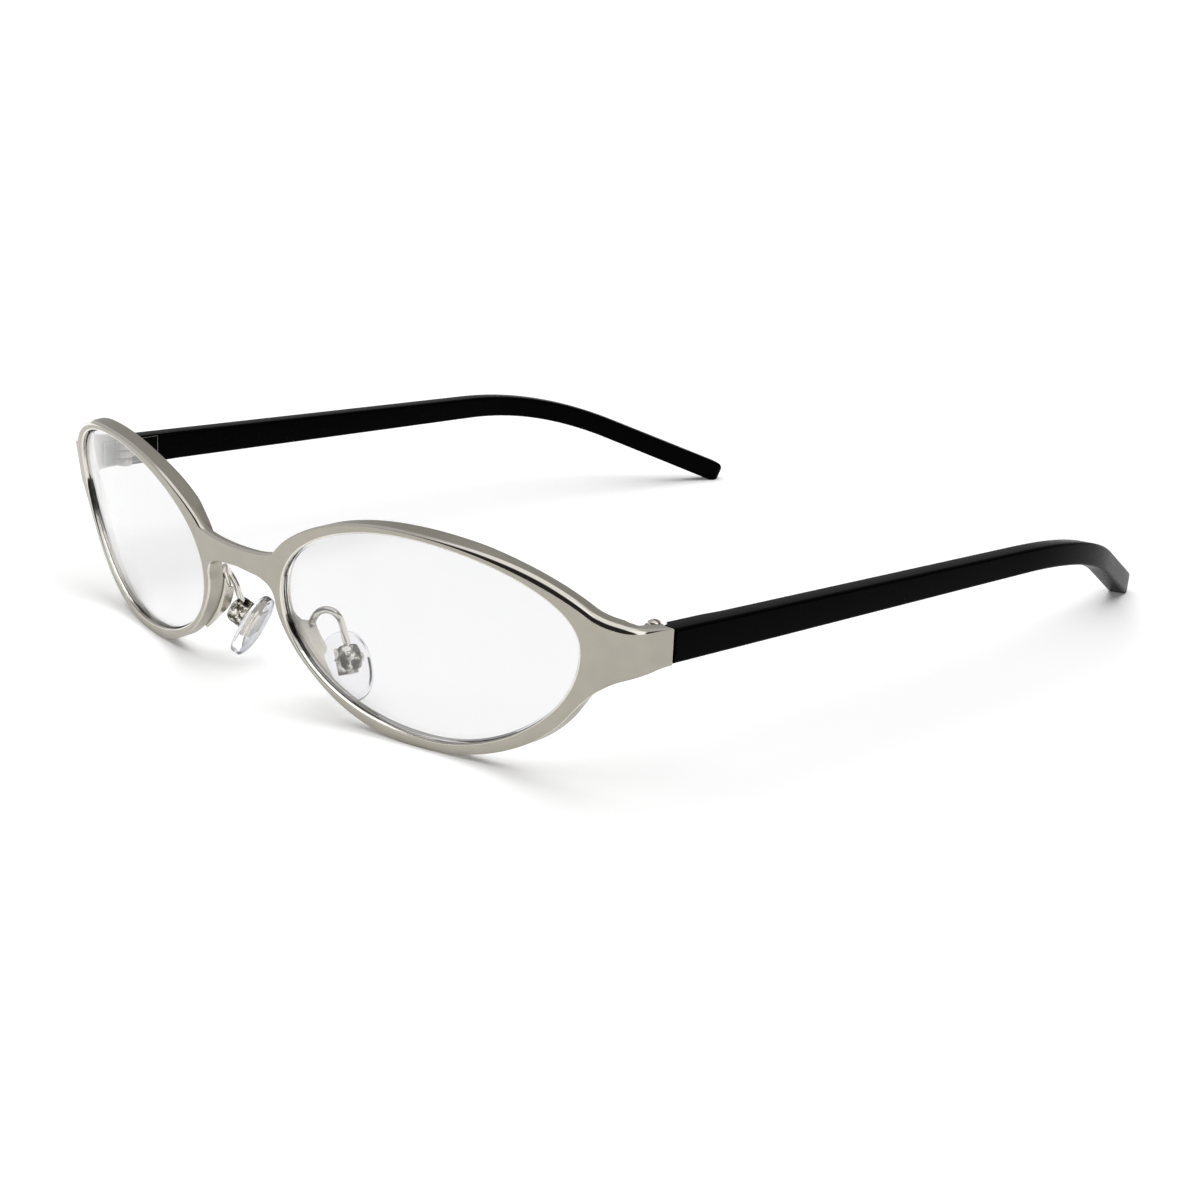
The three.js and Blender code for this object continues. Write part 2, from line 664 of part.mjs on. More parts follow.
function templeArm() {
  const stations = templeStations();
  const end = stations.at(-1);
  const rings = stations.map((station) => (
    sectionRing(station, bevelledBar(TEMPLE_THICKNESS, station.height, TEMPLE_EDGE))
  ));
  tipRounding.slice(1).forEach(({ share, scale }) => {
    const station = { ...end, at: end.at.clone().addScaledVector(tipAxis, TIP_ROUND * share) };
    const outline = bevelledBar(TEMPLE_THICKNESS * scale, end.height * scale, TEMPLE_EDGE * scale);
    rings.push(sectionRing(station, outline));
  });
  const bore = coreBar(CORE_RADIUS + CORE_CLEARANCE, CORE_CLEARANCE, JOINT_GAP);
  const knuckleRoom = post(
    KNUCKLE_RADIUS + TURN_CLEARANCE, axisX, axisY, hingeLow - HINGE_HEIGHT, hingeHigh + HINGE_HEIGHT,
  );
  const pocket = block(
    [templeInside - LEAF_THICKNESS, templeStart - JOINT_GAP, hingeLow - FIT_CLEARANCE],
    [templeInside + LEAF_THICKNESS + FIT_CLEARANCE, plateBack + FIT_CLEARANCE, hingeHigh + FIT_CLEARANCE],
  );
  return cut(loft(rings), bore, knuckleRoom, pocket);
}

// The wire inside the temple, from its front end to a stop short of the tip
function coreBar(radius, endSpare, startSpare) {
  const stations = templeStations();
  stations[0] = { ...stations[0], at: stations[0].at.clone().addScaledVector(templeAxis, -startSpare) };
  const end = stations.at(-1);
  end.at = end.at.clone().addScaledVector(tipAxis, TIP_ROUND - CORE_END + endSpare);
  return loft(stations.map((station) => sectionRing(station, roundBar(radius, CORE_SIDES))));
}

function templeCore() {
  return coreBar(CORE_RADIUS, 0, -JOINT_GAP);
}

// Nose pad frame: X along the screw, Y away from the nose, Z up along the pad
const padUp = unit(new THREE.Vector3(-Math.tan(PAD_FRONTAL_ANGLE), Math.tan(PAD_LEAN_ANGLE), 1));
const padBack = new THREE.Vector3(Math.sin(PAD_SPLAY_ANGLE), Math.cos(PAD_SPLAY_ANGLE), 0);
const padAcross = unit(padBack.addScaledVector(padUp, -padBack.dot(padUp))).negate();
const padOut = new THREE.Vector3().crossVectors(padUp, padAcross);
const padPlace = new THREE.Matrix4().makeBasis(padAcross, padOut, padUp)
  .setPosition(PAD_FROM_CENTRE, PAD_BEHIND_FRONT, PAD_HEIGHT).premultiply(tilt);

const padBackFace = PAD_THICKNESS / 4;
const lugGap = (BOX_WIDTH - 2 * BOX_WALL - LUG_THICKNESS) / 2;
const screwOut = padBackFace + LUG_RADIUS + TURN_CLEARANCE + LUG_REACH;
const screwUp = BOX_ABOVE_PAD_CENTRE;
const boxOuter = screwOut + LUG_RADIUS + TURN_CLEARANCE + BOX_WALL;
const insertLow = padBackFace - INSERT_THICKNESS;

// A slab round the insert in the pad frame, wider all round by an amount
function insertSlab(spare, low, high) {
  const [across, up] = [INSERT_WIDTH / 2 + spare, INSERT_LENGTH / 2 + spare];
  return block([-across, low, screwUp - up], [across, high, screwUp + up]);
}

function nosePad() {
  const rise = PAD_THICKNESS - padBackFace;
  const profile = [
    { scale: 0.12, depth: -0.8 * rise }, { scale: 0.65, depth: -0.76 * rise }, { scale: 0.92, depth: -0.64 * rise },
    { scale: 1, depth: -0.34 * rise }, { scale: 1, depth: 0.35 * padBackFace },
    { scale: 0.92, depth: padBackFace }, { scale: 0.1, depth: padBackFace },
  ];
  const outlineAt = (turn, step) => new THREE.Vector2(
    (step.scale * Math.cos(turn) * PAD_WIDTH) / 2, (step.scale * Math.sin(turn) * PAD_LENGTH) / 2,
  );
  const place = (point, depth) => new THREE.Vector3(point.x, depth, point.y);
  const pocket = insertSlab(FIT_CLEARANCE, insertLow - FIT_CLEARANCE, padBackFace + PAD_THICKNESS);
  return cut(disc(outlineAt, PAD_SIDES, profile, place), pocket).applyMatrix4(padPlace);
}

// A cylinder on the pad screw's line, from one end to the other
function crossPin(radius, low, high, sides = SMALL_SIDES) {
  const geometry = new THREE.CylinderGeometry(radius, radius, high - low, sides);
  return geometry.rotateZ(Math.PI / 2).translate((low + high) / 2, screwOut, screwUp);
}

// The insert moulded into the pad's back, with a lug that the screw passes through
function padCore() {
  const neck = block(
    [-LUG_THICKNESS / 2, insertLow + overlap, screwUp - LUG_RADIUS],
    [LUG_THICKNESS / 2, screwOut, screwUp + LUG_RADIUS],
  );
  const eye = crossPin(LUG_RADIUS, -LUG_THICKNESS / 2, LUG_THICKNESS / 2, ROUND_SIDES);
  const bore = crossPin(PAD_SCREW_RADIUS + FIT_CLEARANCE, -LUG_THICKNESS, LUG_THICKNESS);
  return cut(join(insertSlab(0, insertLow, padBackFace), neck, eye), bore).applyMatrix4(padPlace);
}

// A folded metal channel round the lug
function padBox() {
  const low = screwUp - BOX_LENGTH / 2;
  const high = screwUp + BOX_LENGTH / 2;
  const outside = block([-BOX_WIDTH / 2, screwOut - LUG_RADIUS, low], [BOX_WIDTH / 2, boxOuter, high]);
  const slotHalf = LUG_THICKNESS / 2 + lugGap;
  const slot = block(
    [-slotHalf, screwOut - 2 * LUG_RADIUS, low - BOX_WALL], [slotHalf, boxOuter - BOX_WALL, high + BOX_WALL],
  );
  const bore = crossPin(PAD_SCREW_RADIUS + FIT_CLEARANCE, -BOX_WIDTH, BOX_WIDTH);
  return cut(outside, slot, bore).applyMatrix4(padPlace);
}

function padScrew() {
  const headInside = -BOX_WIDTH / 2 - SEAT_GAP;
  const shaft = crossPin(PAD_SCREW_RADIUS, headInside - overlap, BOX_WIDTH / 2);
  const head = crossPin(PAD_SCREW_HEAD_RADIUS, headInside - PAD_SCREW_HEAD_HEIGHT, headInside);
  return join(shaft, head).applyMatrix4(padPlace);
}

// A leaf along the rim's back: its turns round the eye in degrees and its reach behind the rim
const leafReach = [
  [184, 0.2], [188, 0.55], [191, 1.1], [193, 2.5], [195, 2.7], [207, 2.65], [209, 2.2], [211, 1.45], [216, 1], [224, 0.3],
];

function leafAt(around, reach, aside = 0) {
  const root = eyeOutwards(THREE.MathUtils.degToRad(around), ARM_LEAF_IN_RIM + aside);
  return onWrap(
    root.x + reach * Math.sin(ARM_LEAF_SPLAY), root.y, FRONT_DEPTH + SEAT_GAP + reach * Math.cos(ARM_LEAF_SPLAY),
  );
}

// The leaf, and a wire that loops from its top over to the box
function padArm() {
  const half = ARM_LEAF_THICKNESS / 2;
  const leaf = loft(leafReach.map(([around, reach]) => [
    leafAt(around, 0, half), leafAt(around, reach, half), leafAt(around, reach, -half), leafAt(around, 0, -half),
  ]));
  const boxTop = new THREE.Vector3(0, (screwOut + boxOuter) / 2, screwUp + BOX_LENGTH / 2 + SEAT_GAP)
    .applyMatrix4(padPlace).applyMatrix4(tilt.clone().invert());
  const route = new THREE.CatmullRomCurve3([
    leafAt(196, 2.2),
    leafAt(193.5, 2.3),
    new THREE.Vector3(11.35, 5.2, 13.9),
    new THREE.Vector3(12, 5.65, 14.5),
    new THREE.Vector3(12.75, 6.25, 14.65),
    new THREE.Vector3(13.5, 6.85, 14.2),
    new THREE.Vector3(13.7, 7.45, 13.1),
    new THREE.Vector3(13.45, 7.95, 11.7),
    boxTop.clone().addScaledVector(padUp, 2 * ARM_WIRE_RADIUS),
    boxTop,
  ], false, 'centripetal');
  const section = new THREE.Shape();
  section.absarc(0, 0, ARM_WIRE_RADIUS, 0, 2 * Math.PI);
  const wire = new THREE.ExtrudeGeometry(section, {
    steps: WIRE_STEPS, curveSegments: CORE_SIDES / 2, bevelEnabled: false, extrudePath: route,
  });
  return join(leaf, wire).applyMatrix4(tilt);
}

// Finishes
const satinMetal = { color: '#b9b3a8', roughness: 0.4, metalness: 1 };
const polishedMetal = { color: '#cfcac0', roughness: 0.12, metalness: 1 };
const blackPlastic = { color: '#0b0b0c', roughness: 0.25, metalness: 0 };
const clearPlastic = { color: '#f4f7f8', roughness: 0.05, metalness: 0, transparent: true, opacity: 0.2 };
const clearSilicone = { color: '#e6e9ef', roughness: 0.25, metalness: 0, transparent: true, opacity: 0.5 };

const glasses = new THREE.Group();
function addPiece(name, geometry, finish) {
  const piece = new THREE.Mesh(geometry, new THREE.MeshStandardMaterial(finish));
  piece.name = name;
  glasses.add(piece);
}

addPiece('front_frame', frontFrame, satinMetal);
const sidePieces = [
  ['lens', lens, clearPlastic],
  ['front_hinge', frontHinge, polishedMetal],
  ['hinge_screw', hingeScrew, polishedMetal],
  ['temple_arm', templeArm, blackPlastic],
  ['temple_hinge', templeHinge, polishedMetal],
  ['temple_core', templeCore, polishedMetal],
  ['pad_arm', padArm, satinMetal],
  ['pad_box', padBox, polishedMetal],
  ['pad_screw', padScrew, polishedMetal],
  ['pad_core', padCore, polishedMetal],
  ['nose_pad', nosePad, clearSilicone],
];
for (const [name, make, finish] of sidePieces) {
  const geometry = make();
  addPiece(`left_${name}`, geometry, finish);
  addPiece(`right_${name}`, mirrored(geometry), finish);
}

// The part's origin is the middle of its footprint on the floor
const footprint = new THREE.Box3().setFromObject(glasses).getCenter(new THREE.Vector3());
glasses.position.set(-footprint.x, -footprint.y, 0);

const part = new THREE.Group();
part.add(glasses);
export default part;
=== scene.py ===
"""Oval full-rim metal spectacles with clear lenses, slim black temples and clear nose pads.

Sizes are in millimetres and each finished mesh is turned to metres. +X is the wearer's left,
the front faces -Y, the temples run back along +Y and the rims stand on Z = 0.
"""
import math

import bmesh
import bpy
import numpy as np
from mathutils import Matrix, Vector, geometry


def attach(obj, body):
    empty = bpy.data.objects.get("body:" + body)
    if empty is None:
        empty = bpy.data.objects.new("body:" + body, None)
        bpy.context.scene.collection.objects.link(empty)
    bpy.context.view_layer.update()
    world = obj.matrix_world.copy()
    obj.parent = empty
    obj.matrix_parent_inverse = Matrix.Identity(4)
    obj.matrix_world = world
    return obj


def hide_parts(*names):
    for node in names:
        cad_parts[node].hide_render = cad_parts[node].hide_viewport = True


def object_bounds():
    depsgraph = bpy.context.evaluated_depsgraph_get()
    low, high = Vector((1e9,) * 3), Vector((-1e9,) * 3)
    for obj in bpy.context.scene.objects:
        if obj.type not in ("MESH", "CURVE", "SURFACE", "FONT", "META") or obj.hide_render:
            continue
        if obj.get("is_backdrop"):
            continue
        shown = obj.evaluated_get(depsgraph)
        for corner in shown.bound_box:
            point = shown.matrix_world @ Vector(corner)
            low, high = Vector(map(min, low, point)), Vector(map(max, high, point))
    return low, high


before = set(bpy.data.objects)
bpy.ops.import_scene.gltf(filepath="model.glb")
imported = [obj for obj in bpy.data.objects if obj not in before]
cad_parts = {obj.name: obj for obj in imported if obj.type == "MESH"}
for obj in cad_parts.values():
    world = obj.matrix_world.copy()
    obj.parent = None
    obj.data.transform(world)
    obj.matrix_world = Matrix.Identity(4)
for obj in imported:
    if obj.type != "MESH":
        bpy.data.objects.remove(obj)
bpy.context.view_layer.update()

# ---------------------------------------------------------------------------------------------
# Front frame: two oval rims, the bridge and the end pieces in one piece of nickel silver.
# It is stamped and milled flat, bent to the wrap of the face and round to the temples, bead
# blasted to a satin grey, and then its upper edge and the eye walls are polished.
# ---------------------------------------------------------------------------------------------
EYE_WIDTH, EYE_HEIGHT, BRIDGE_GAP = 50.5, 29.3, 19.3
RIM_BOTTOM, RIM_TOP, RIM_NASAL = 1.6, 1.1, 1.5
BRIDGE_RISE, BRIDGE_HEIGHT = 6.6, 2.8
FRONT_DEPTH, NASAL_DEEPER = 2.6, 0.4
EDGE_BRIDGE, EDGE_END, EDGE_LOW, EDGE_FULLNESS = 0.2, 0.75, 0.1, 1.35
EDGE_DEPTH_BRIDGE, EDGE_DEPTH_END, EDGE_DEPTH_LOW = 0.5, 0.9, 0.3
RISE_BRIDGE, RISE_END, RISE_SHARE = -0.45, 0.72, 0.72
LOW_RISE, LOW_BOW, PLATE_DEPTH, RING_OUT = 0.6, 0.12, 1.3, 2.05
EYE_LIP, LOW_LIP, BACK_ROUND = 0.25, 0.13, 0.3
# Turns round the eye, in degrees, between which the lip is narrow and the rim's back is deeper
LOW_LIP_TURNS, DEEPER_TURNS = (215, 245, 315, 345), (105, 135, 150, 175)
# Where the ring behind the bridge begins and is full, from the eye's nasal end, and the spare width
# of the bridge's plate past the ring at which its step and its own thickness are full
RING_BEGINS, RING_FULL, STEP_FULL, PLATE_FULL = 4.2, -0.6, 0.4, 0.8
# Short of the eye's temporal end: where the edge is full and where the lower rim's rise begins
EDGE_SHORT, RISE_SHORT = 4.0, 3.0
# The lower rim's bow: its run from the eye's nasal end, and short of the end piece its fading
BOW_RUN, BOW_FADES, BOW_GONE = 6.0, 8.0, 2.0
WRAP_RADIUS = 153.8
PANTO_TILT = math.radians(8.8)
REST_FLAT = 0.15
FRONT_WIDTH, END_BEND_RADIUS, END_LENGTH = 132.0, 4.0, 3.9
END_HEIGHT, END_RISE = 4.7, 1.7
GROOVE_DEPTH, GROOVE_WIDTH = 0.6, 1.4
STATION_SPACING, EYE_STEPS, EDGE_STEPS = 0.5, 160, 80
# The pack's frame has the middle of the whole footprint at Y = 0, which moves the front by this
FOOTPRINT_SHIFT = -74.2697

eye_nasal = BRIDGE_GAP / 2
eye_temporal = eye_nasal + EYE_WIDTH
eye_top = RIM_BOTTOM + EYE_HEIGHT
eye_middle = Vector(((eye_nasal + eye_temporal) / 2, (RIM_BOTTOM + eye_top) / 2))
half_width, half_height = EYE_WIDTH / 2, EYE_HEIGHT / 2
bridge_top = eye_middle.y + BRIDGE_RISE
end_middle = eye_middle.y + END_RISE
bend_angle = math.asin((FRONT_WIDTH / 2 - END_BEND_RADIUS) / (WRAP_RADIUS - END_BEND_RADIUS))
bend_start = WRAP_RADIUS * bend_angle
bend_end = bend_start + END_BEND_RADIUS * (math.pi / 2 - bend_angle)
end_along = bend_end + END_LENGTH
rim_cut = eye_temporal + 2 * RIM_TOP
groove_middle = FRONT_DEPTH / 2


def curve_through(knots, steps):
    """Points on smooth curves through knots: a place, a heading, a reach before and one after."""
    run = []
    for (here, leaving, _, ahead), (there, arriving, back, _) in zip(knots, knots[1:]):
        leave = Vector((math.cos(math.radians(leaving)), math.sin(math.radians(leaving))))
        arrive = Vector((math.cos(math.radians(arriving)), math.sin(math.radians(arriving))))
        here, there = Vector(here), Vector(there)
        run += geometry.interpolate_bezier(
            here, here + leave * ahead, there - arrive * back, there, steps)[:-1]
    return run + [Vector(knots[-1][0])]


def evenly(points, spacing):
    """The same run with its points an even spacing apart."""
    marks = [0.0]
    for a, b in zip(points, points[1:]):
        marks.append(marks[-1] + (b - a).length)
    count = max(2, round(marks[-1] / spacing))
    wanted = np.linspace(0, marks[-1], count + 1)
    rows = [np.interp(wanted, marks, [p[k] for p in points]) for k in range(len(points[0]))]
    return [Vector(place) for place in zip(*rows)]


# Knots of the outlines: a place, a heading in degrees, and the curve's reach before and after it
nasal_knot = ((eye_nasal, eye_middle.y + 0.04 * half_height), 90, 0.6 * half_height, 0.65 * half_height)
eye_points = curve_through([
    nasal_knot,
    ((eye_middle.x - 0.047 * half_width, eye_top + 0.016 * half_height), 0,
     0.43 * half_width, 0.486 * half_width),
    ((eye_temporal - 0.0085 * half_width, eye_middle.y + 0.21 * half_height), -90,
     0.453 * half_height, 0.6 * half_height),
    ((eye_middle.x, RIM_BOTTOM), 180, 0.53 * half_width, 0.55 * half_width),
    nasal_knot,
], EYE_STEPS)[:-1]
top_edge = evenly(curve_through([
    ((0, bridge_top), 0, 0, 0.6 * eye_nasal),
    ((eye_nasal - RIM_NASAL / 3, bridge_top + EYE_HEIGHT / 23), 50, 0.8, 3),
    ((eye_middle.x - 0.1 * half_width, eye_top + RIM_TOP), 0, 0.51 * half_width, 0.47 * half_width),
    ((eye_temporal + RIM_TOP, eye_middle.y + 0.51 * half_height), -36, 0.3 * half_width, 3.7),
    ((end_along, end_middle + END_HEIGHT / 2), -18, 6, 0),
], EDGE_STEPS), STATION_SPACING)
low_edge = evenly(curve_through([
    ((0, bridge_top - BRIDGE_HEIGHT), 0, 0, 0.53 * eye_nasal),
    ((eye_nasal - RIM_NASAL, eye_middle.y + 0.02 * half_height), -90, 0.19 * half_height, 0.32 * half_height),
    ((eye_middle.x - 0.06 * half_width, 0), 0, 0.65 * half_width, 0.42 * half_width),
    ((eye_temporal - 0.1 * half_width, eye_middle.y - 0.48 * half_height), 49, 0.3 * half_width, 7.5),
    ((end_along, end_middle - END_HEIGHT / 2), -10, 7, 0),
], EDGE_STEPS), STATION_SPACING)


def turn_of(point):
    """The eye's turn round its middle on an oval scale, which pairs inner and outer points."""
    return math.atan2((point.y - eye_middle.y) / half_height, (point.x - eye_middle.x) / half_width)


eye_turns = -np.unwrap([turn_of(p) for p in eye_points])
eye_turns = np.concatenate([eye_turns - 2 * math.pi, eye_turns, eye_turns + 2 * math.pi])
eye_across = np.tile([p.x for p in eye_points], 3)
eye_up = np.tile([p.y for p in eye_points], 3)


def eye_at(turn, outwards=0.0):
    """The eye's outline at a turn, moved outwards by an amount."""
    def on(t):
        return Vector((np.interp(-t, eye_turns, eye_across), np.interp(-t, eye_turns, eye_up)))
    spare = 0.02
    run = (on(turn - spare) - on(turn + spare)).normalized()
    return on(turn) + Vector((-run.y, run.x)) * outwards


def on_wrap(along, height, depth):
    """A place on the front: along the wrap from its middle, up in its plane, and behind its face."""
    if along <= bend_start:
        angle, reach = along / WRAP_RADIUS, WRAP_RADIUS - depth
        return Vector((reach * math.sin(angle), WRAP_RADIUS - reach * math.cos(angle), height))
    angle = bend_angle + (min(along, bend_end) - bend_start) / END_BEND_RADIUS
    reach = END_BEND_RADIUS - depth
    centre_y = WRAP_RADIUS - (WRAP_RADIUS - END_BEND_RADIUS) * math.cos(bend_angle)
    beyond = max(along - bend_end, 0)
    return Vector((FRONT_WIDTH / 2 - END_BEND_RADIUS + reach * math.sin(angle),
                   centre_y - reach * math.cos(angle) + beyond, height))


def smoothstep(value, low, high):
    """A share from 0 at low to 1 at high, eased at both ends."""
    share = min(max((value - low) / (high - low), 0), 1)
    return share * share * (3 - 2 * share)


def mix(a, b, share):
    """The value a share of the way from a to b."""
    return a + (b - a) * share


def edge_height(points, along):
    """How high an edge of the face lies at a place along the wrap."""
    return float(np.interp(along, [p.x for p in points], [p.y for p in points]))


def outwards_of(points, index, sign):
    """The direction square to an edge of the face, away from the face."""
    if index == 0:
        return Vector((0, sign))
    run = (points[min(index + 1, len(points) - 1)] - points[index - 1]).normalized()
    return Vector((-run.y, run.x)) * sign


class Station:
    """One section of the front: the face's outer edge, the way out of it and the eye's turn.

    share goes from 0 on the upper edge to 1 on the lower one, open_next says that the wall is open
    as far as the next section, and at_cut that the end piece goes on from here.
    """

    def __init__(self, crease, out, upper, share, open_next, at_cut=False):
        self.crease, self.out, self.upper, self.share = crease, out, upper, share
        self.open_next, self.at_cut = open_next, at_cut

    def settle(self, turn):
        """Works the section out, once its turn round the eye is known."""
        self.turn, along, around = turn, self.crease.x, math.degrees(turn) % 360
        towards_end = smoothstep(along, eye_middle.x, eye_temporal - EDGE_SHORT)
        if self.upper:
            past_bend = smoothstep(along, bend_start, end_along)
            rising = (along - eye_nasal) / (RISE_SHARE * EYE_WIDTH)
            self.edge = mix(EDGE_BRIDGE, EDGE_END, towards_end)
            self.edge = mix(self.edge, EDGE_LOW, past_bend)
            self.edge_depth = mix(EDGE_DEPTH_BRIDGE, EDGE_DEPTH_END, towards_end)
            self.edge_depth = mix(self.edge_depth, EDGE_DEPTH_LOW, past_bend)
            self.rise = mix(RISE_BRIDGE, RISE_END, min(max(rising, 0), 1))
            self.rise = mix(self.rise, EDGE_LOW, past_bend)
            self.bow = 0
        else:
            self.edge, self.edge_depth = EDGE_LOW, EDGE_DEPTH_LOW
            rising = towards_end * smoothstep(along, rim_cut, eye_temporal - RISE_SHORT)
            self.rise = EDGE_LOW + LOW_RISE * rising
            self.bow = LOW_BOW * smoothstep(along, eye_nasal, eye_nasal + BOW_RUN)
            self.bow *= smoothstep(along, rim_cut - BOW_GONE, eye_temporal - BOW_FADES)
        # The polished lip round the eye is narrower along the bottom of the rim
        starts, full, ends, gone = LOW_LIP_TURNS
        narrow = smoothstep(around, starts, full) * smoothstep(around, gone, ends)
        self.lip = mix(1, LOW_LIP / EYE_LIP, narrow)
        starts, full, ends, gone = DEEPER_TURNS
        deeper = smoothstep(around, starts, full) * smoothstep(around, gone, ends)
        self.back = FRONT_DEPTH + NASAL_DEEPER * deeper
        # Behind the bridge the rim's ring goes on, set in from the edge of the bridge's plate
        over = (self.crease + self.out * self.edge - eye_at(turn)).length - RING_OUT
        near_bridge = smoothstep(along, eye_nasal + RING_BEGINS, eye_nasal + RING_FULL)
        self.step = smoothstep(over, 0, STEP_FULL) * near_bridge
        plate_share = smoothstep(over, 0, PLATE_FULL) * near_bridge
        self.plate = mix((self.edge_depth + self.back - BACK_ROUND) / 2, PLATE_DEPTH, plate_share)
        self.plate_out = mix((self.edge + self.rise) / 2, self.edge, self.step)
        self.plate_round = min(BACK_ROUND, max(over, 0) / 2) * near_bridge
        if 0 < self.share < 1:
            self.edge = self.plate_out = self.plate_round = 0
        to_eye = (eye_at(turn) - self.crease).normalized()
        self.inwards = (-self.out).lerp(to_eye, self.step).normalized()
        plate_edge = self.crease + self.out * (self.plate_out - self.plate_round)
        taper = self.edge - self.rise
        self.ring_front = plate_edge.lerp(eye_at(turn, RING_OUT - taper / 2), self.step)
        self.ring_back = self.crease + self.out * self.rise
        self.ring_back = self.ring_back.lerp(eye_at(turn, RING_OUT - taper), self.step)


# The stations go round one eye: along the top, down beside the end piece, back along the bottom
# and up the middle of the bridge
CUT_STEPS, BRIDGE_STEPS, CUT_SPARE, LEAST_TURN = 10, 6, 0.1, 0.001
stations = [Station(p, outwards_of(top_edge, i, 1), True, 0, False)
            for i, p in enumerate(top_edge) if p.x < rim_cut - CUT_SPARE]
for i in range(CUT_STEPS + 1):
    share = i / CUT_STEPS
    height = mix(edge_height(top_edge, rim_cut), edge_height(low_edge, rim_cut), share)
    edge, sign = (top_edge, 1) if share < 0.5 else (low_edge, -1)
    nearest = min(range(len(edge)), key=lambda k: abs(edge[k].x - rim_cut))
    stations.append(Station(Vector((rim_cut, height)), outwards_of(edge, nearest, sign), share < 0.5, share,
                            i < CUT_STEPS, True))
for i in reversed(range(len(low_edge))):
    if low_edge[i].x < rim_cut - CUT_SPARE:
        stations.append(Station(low_edge[i], outwards_of(low_edge, i, -1), False, 1, i == 0))
for i in range(1, BRIDGE_STEPS):
    height = mix(low_edge[0].y, top_edge[0].y, i / BRIDGE_STEPS)
    stations.append(Station(Vector((0, height)), Vector((0, 1)), True, 0.5, True))
turn = math.inf
for station in stations:
    wanted = turn_of(station.crease)
    while wanted > turn + math.pi / 2:
        wanted -= 2 * math.pi
    turn = min(wanted, turn - LEAST_TURN)
    station.settle(turn)

# Rows round a section: where it lies, an amount, a depth behind the face and the finish before it
SATIN, POLISHED = 0, 1
RIM_ROWS = [
    ("eye", 0.0, EYE_LIP, POLISHED), ("eye", 0.04, 0.09, POLISHED), ("eye", 0.12, 0.02, POLISHED),
    ("eye", EYE_LIP, 0.0, POLISHED), ("face", 0.25, 0, SATIN), ("face", 0.5, 0, SATIN),
    ("face", 0.75, 0, SATIN), ("face", 0.97, 0, SATIN), ("edge", 0, 0, SATIN), ("edge", 22, 0, POLISHED),
    ("edge", 45, 0, POLISHED), ("edge", 68, 0, POLISHED), ("edge", 90, 0, POLISHED), ("plate", 0.5, 0, SATIN),
    ("plate", 1, 0, SATIN), ("plate_round", 45, 0, SATIN), ("plate_round", 90, 0, SATIN), ("ring", 0, 0, SATIN),
    ("ring", 0.5, 0, SATIN), ("ring", 1, 0, SATIN), ("round", 45, 0, SATIN), ("round", 90, 0, SATIN),
    ("back", 0.33, 0, SATIN), ("back", 0.67, 0, SATIN), ("eye", EYE_LIP, FRONT_DEPTH, SATIN),
    ("eye", 0.07, FRONT_DEPTH - 0.07, POLISHED), ("eye", 0, FRONT_DEPTH - EYE_LIP, POLISHED),
    ("eye", 0, groove_middle + GROOVE_WIDTH / 2, POLISHED), ("eye", GROOVE_DEPTH, groove_middle, POLISHED),
    ("eye", 0, groove_middle - GROOVE_WIDTH / 2, POLISHED),
]
LIP_ROWS = 4
FIRST_WALL_ROW = [row[:2] for row in RIM_ROWS].index(("edge", 0))
LAST_PLATE_ROW = [row[:2] for row in RIM_ROWS].index(("plate_round", 90))
LAST_WALL_ROW = [row[:2] for row in RIM_ROWS].index(("round", 90))


def rim_flat(station, row):
    """A row's place at a station, on the flat front: along, up and behind the face."""
    kind, amount, depth, _ = RIM_ROWS[row]
    if kind == "eye":
        lip = station.lip if row < LIP_ROWS else 1
        return eye_at(station.turn, amount * lip), depth * lip
    if kind == "face":
        lip = eye_at(station.turn, EYE_LIP * station.lip)
        return lip.lerp(station.crease, amount), station.bow * amount ** 2
    if kind == "edge":
        angle = math.radians(amount)
        return (station.crease + station.out * station.edge * math.sin(angle) ** EDGE_FULLNESS,
                station.bow + station.edge_depth * (1 - math.cos(angle)))
    if kind == "plate":
        out = mix(station.edge, station.plate_out, amount)
        deep = mix(station.bow + station.edge_depth, station.plate - station.plate_round, amount)
        return station.crease + station.out * out, deep
    if kind == "plate_round":
        in_by = station.plate_round * (1 - math.cos(math.radians(amount)))
        return (station.crease + station.out * (station.plate_out - in_by),
                station.plate - station.plate_round * (1 - math.sin(math.radians(amount))))
    if kind == "ring":
        return (station.ring_front.lerp(station.ring_back, amount),
                mix(station.plate, station.back - BACK_ROUND, amount))
    if kind == "round":
        in_by = BACK_ROUND * (1 - math.cos(math.radians(amount)))
        return (station.ring_back + station.inwards * in_by,
                station.back - BACK_ROUND * (1 - math.sin(math.radians(amount))))
    inset = station.ring_back + station.inwards * BACK_ROUND
    return inset.lerp(eye_at(station.turn, EYE_LIP), amount), mix(station.back, FRONT_DEPTH, amount)


def verts_in(geom):
    """The vertices among what an operator has made."""
    return [g for g in geom if isinstance(g, bmesh.types.BMVert)]


def open_edges(geom):
    """The edges among what an operator has made that have a face on one side only."""
    return [g for g in geom if isinstance(g, bmesh.types.BMEdge) and g.is_boundary]


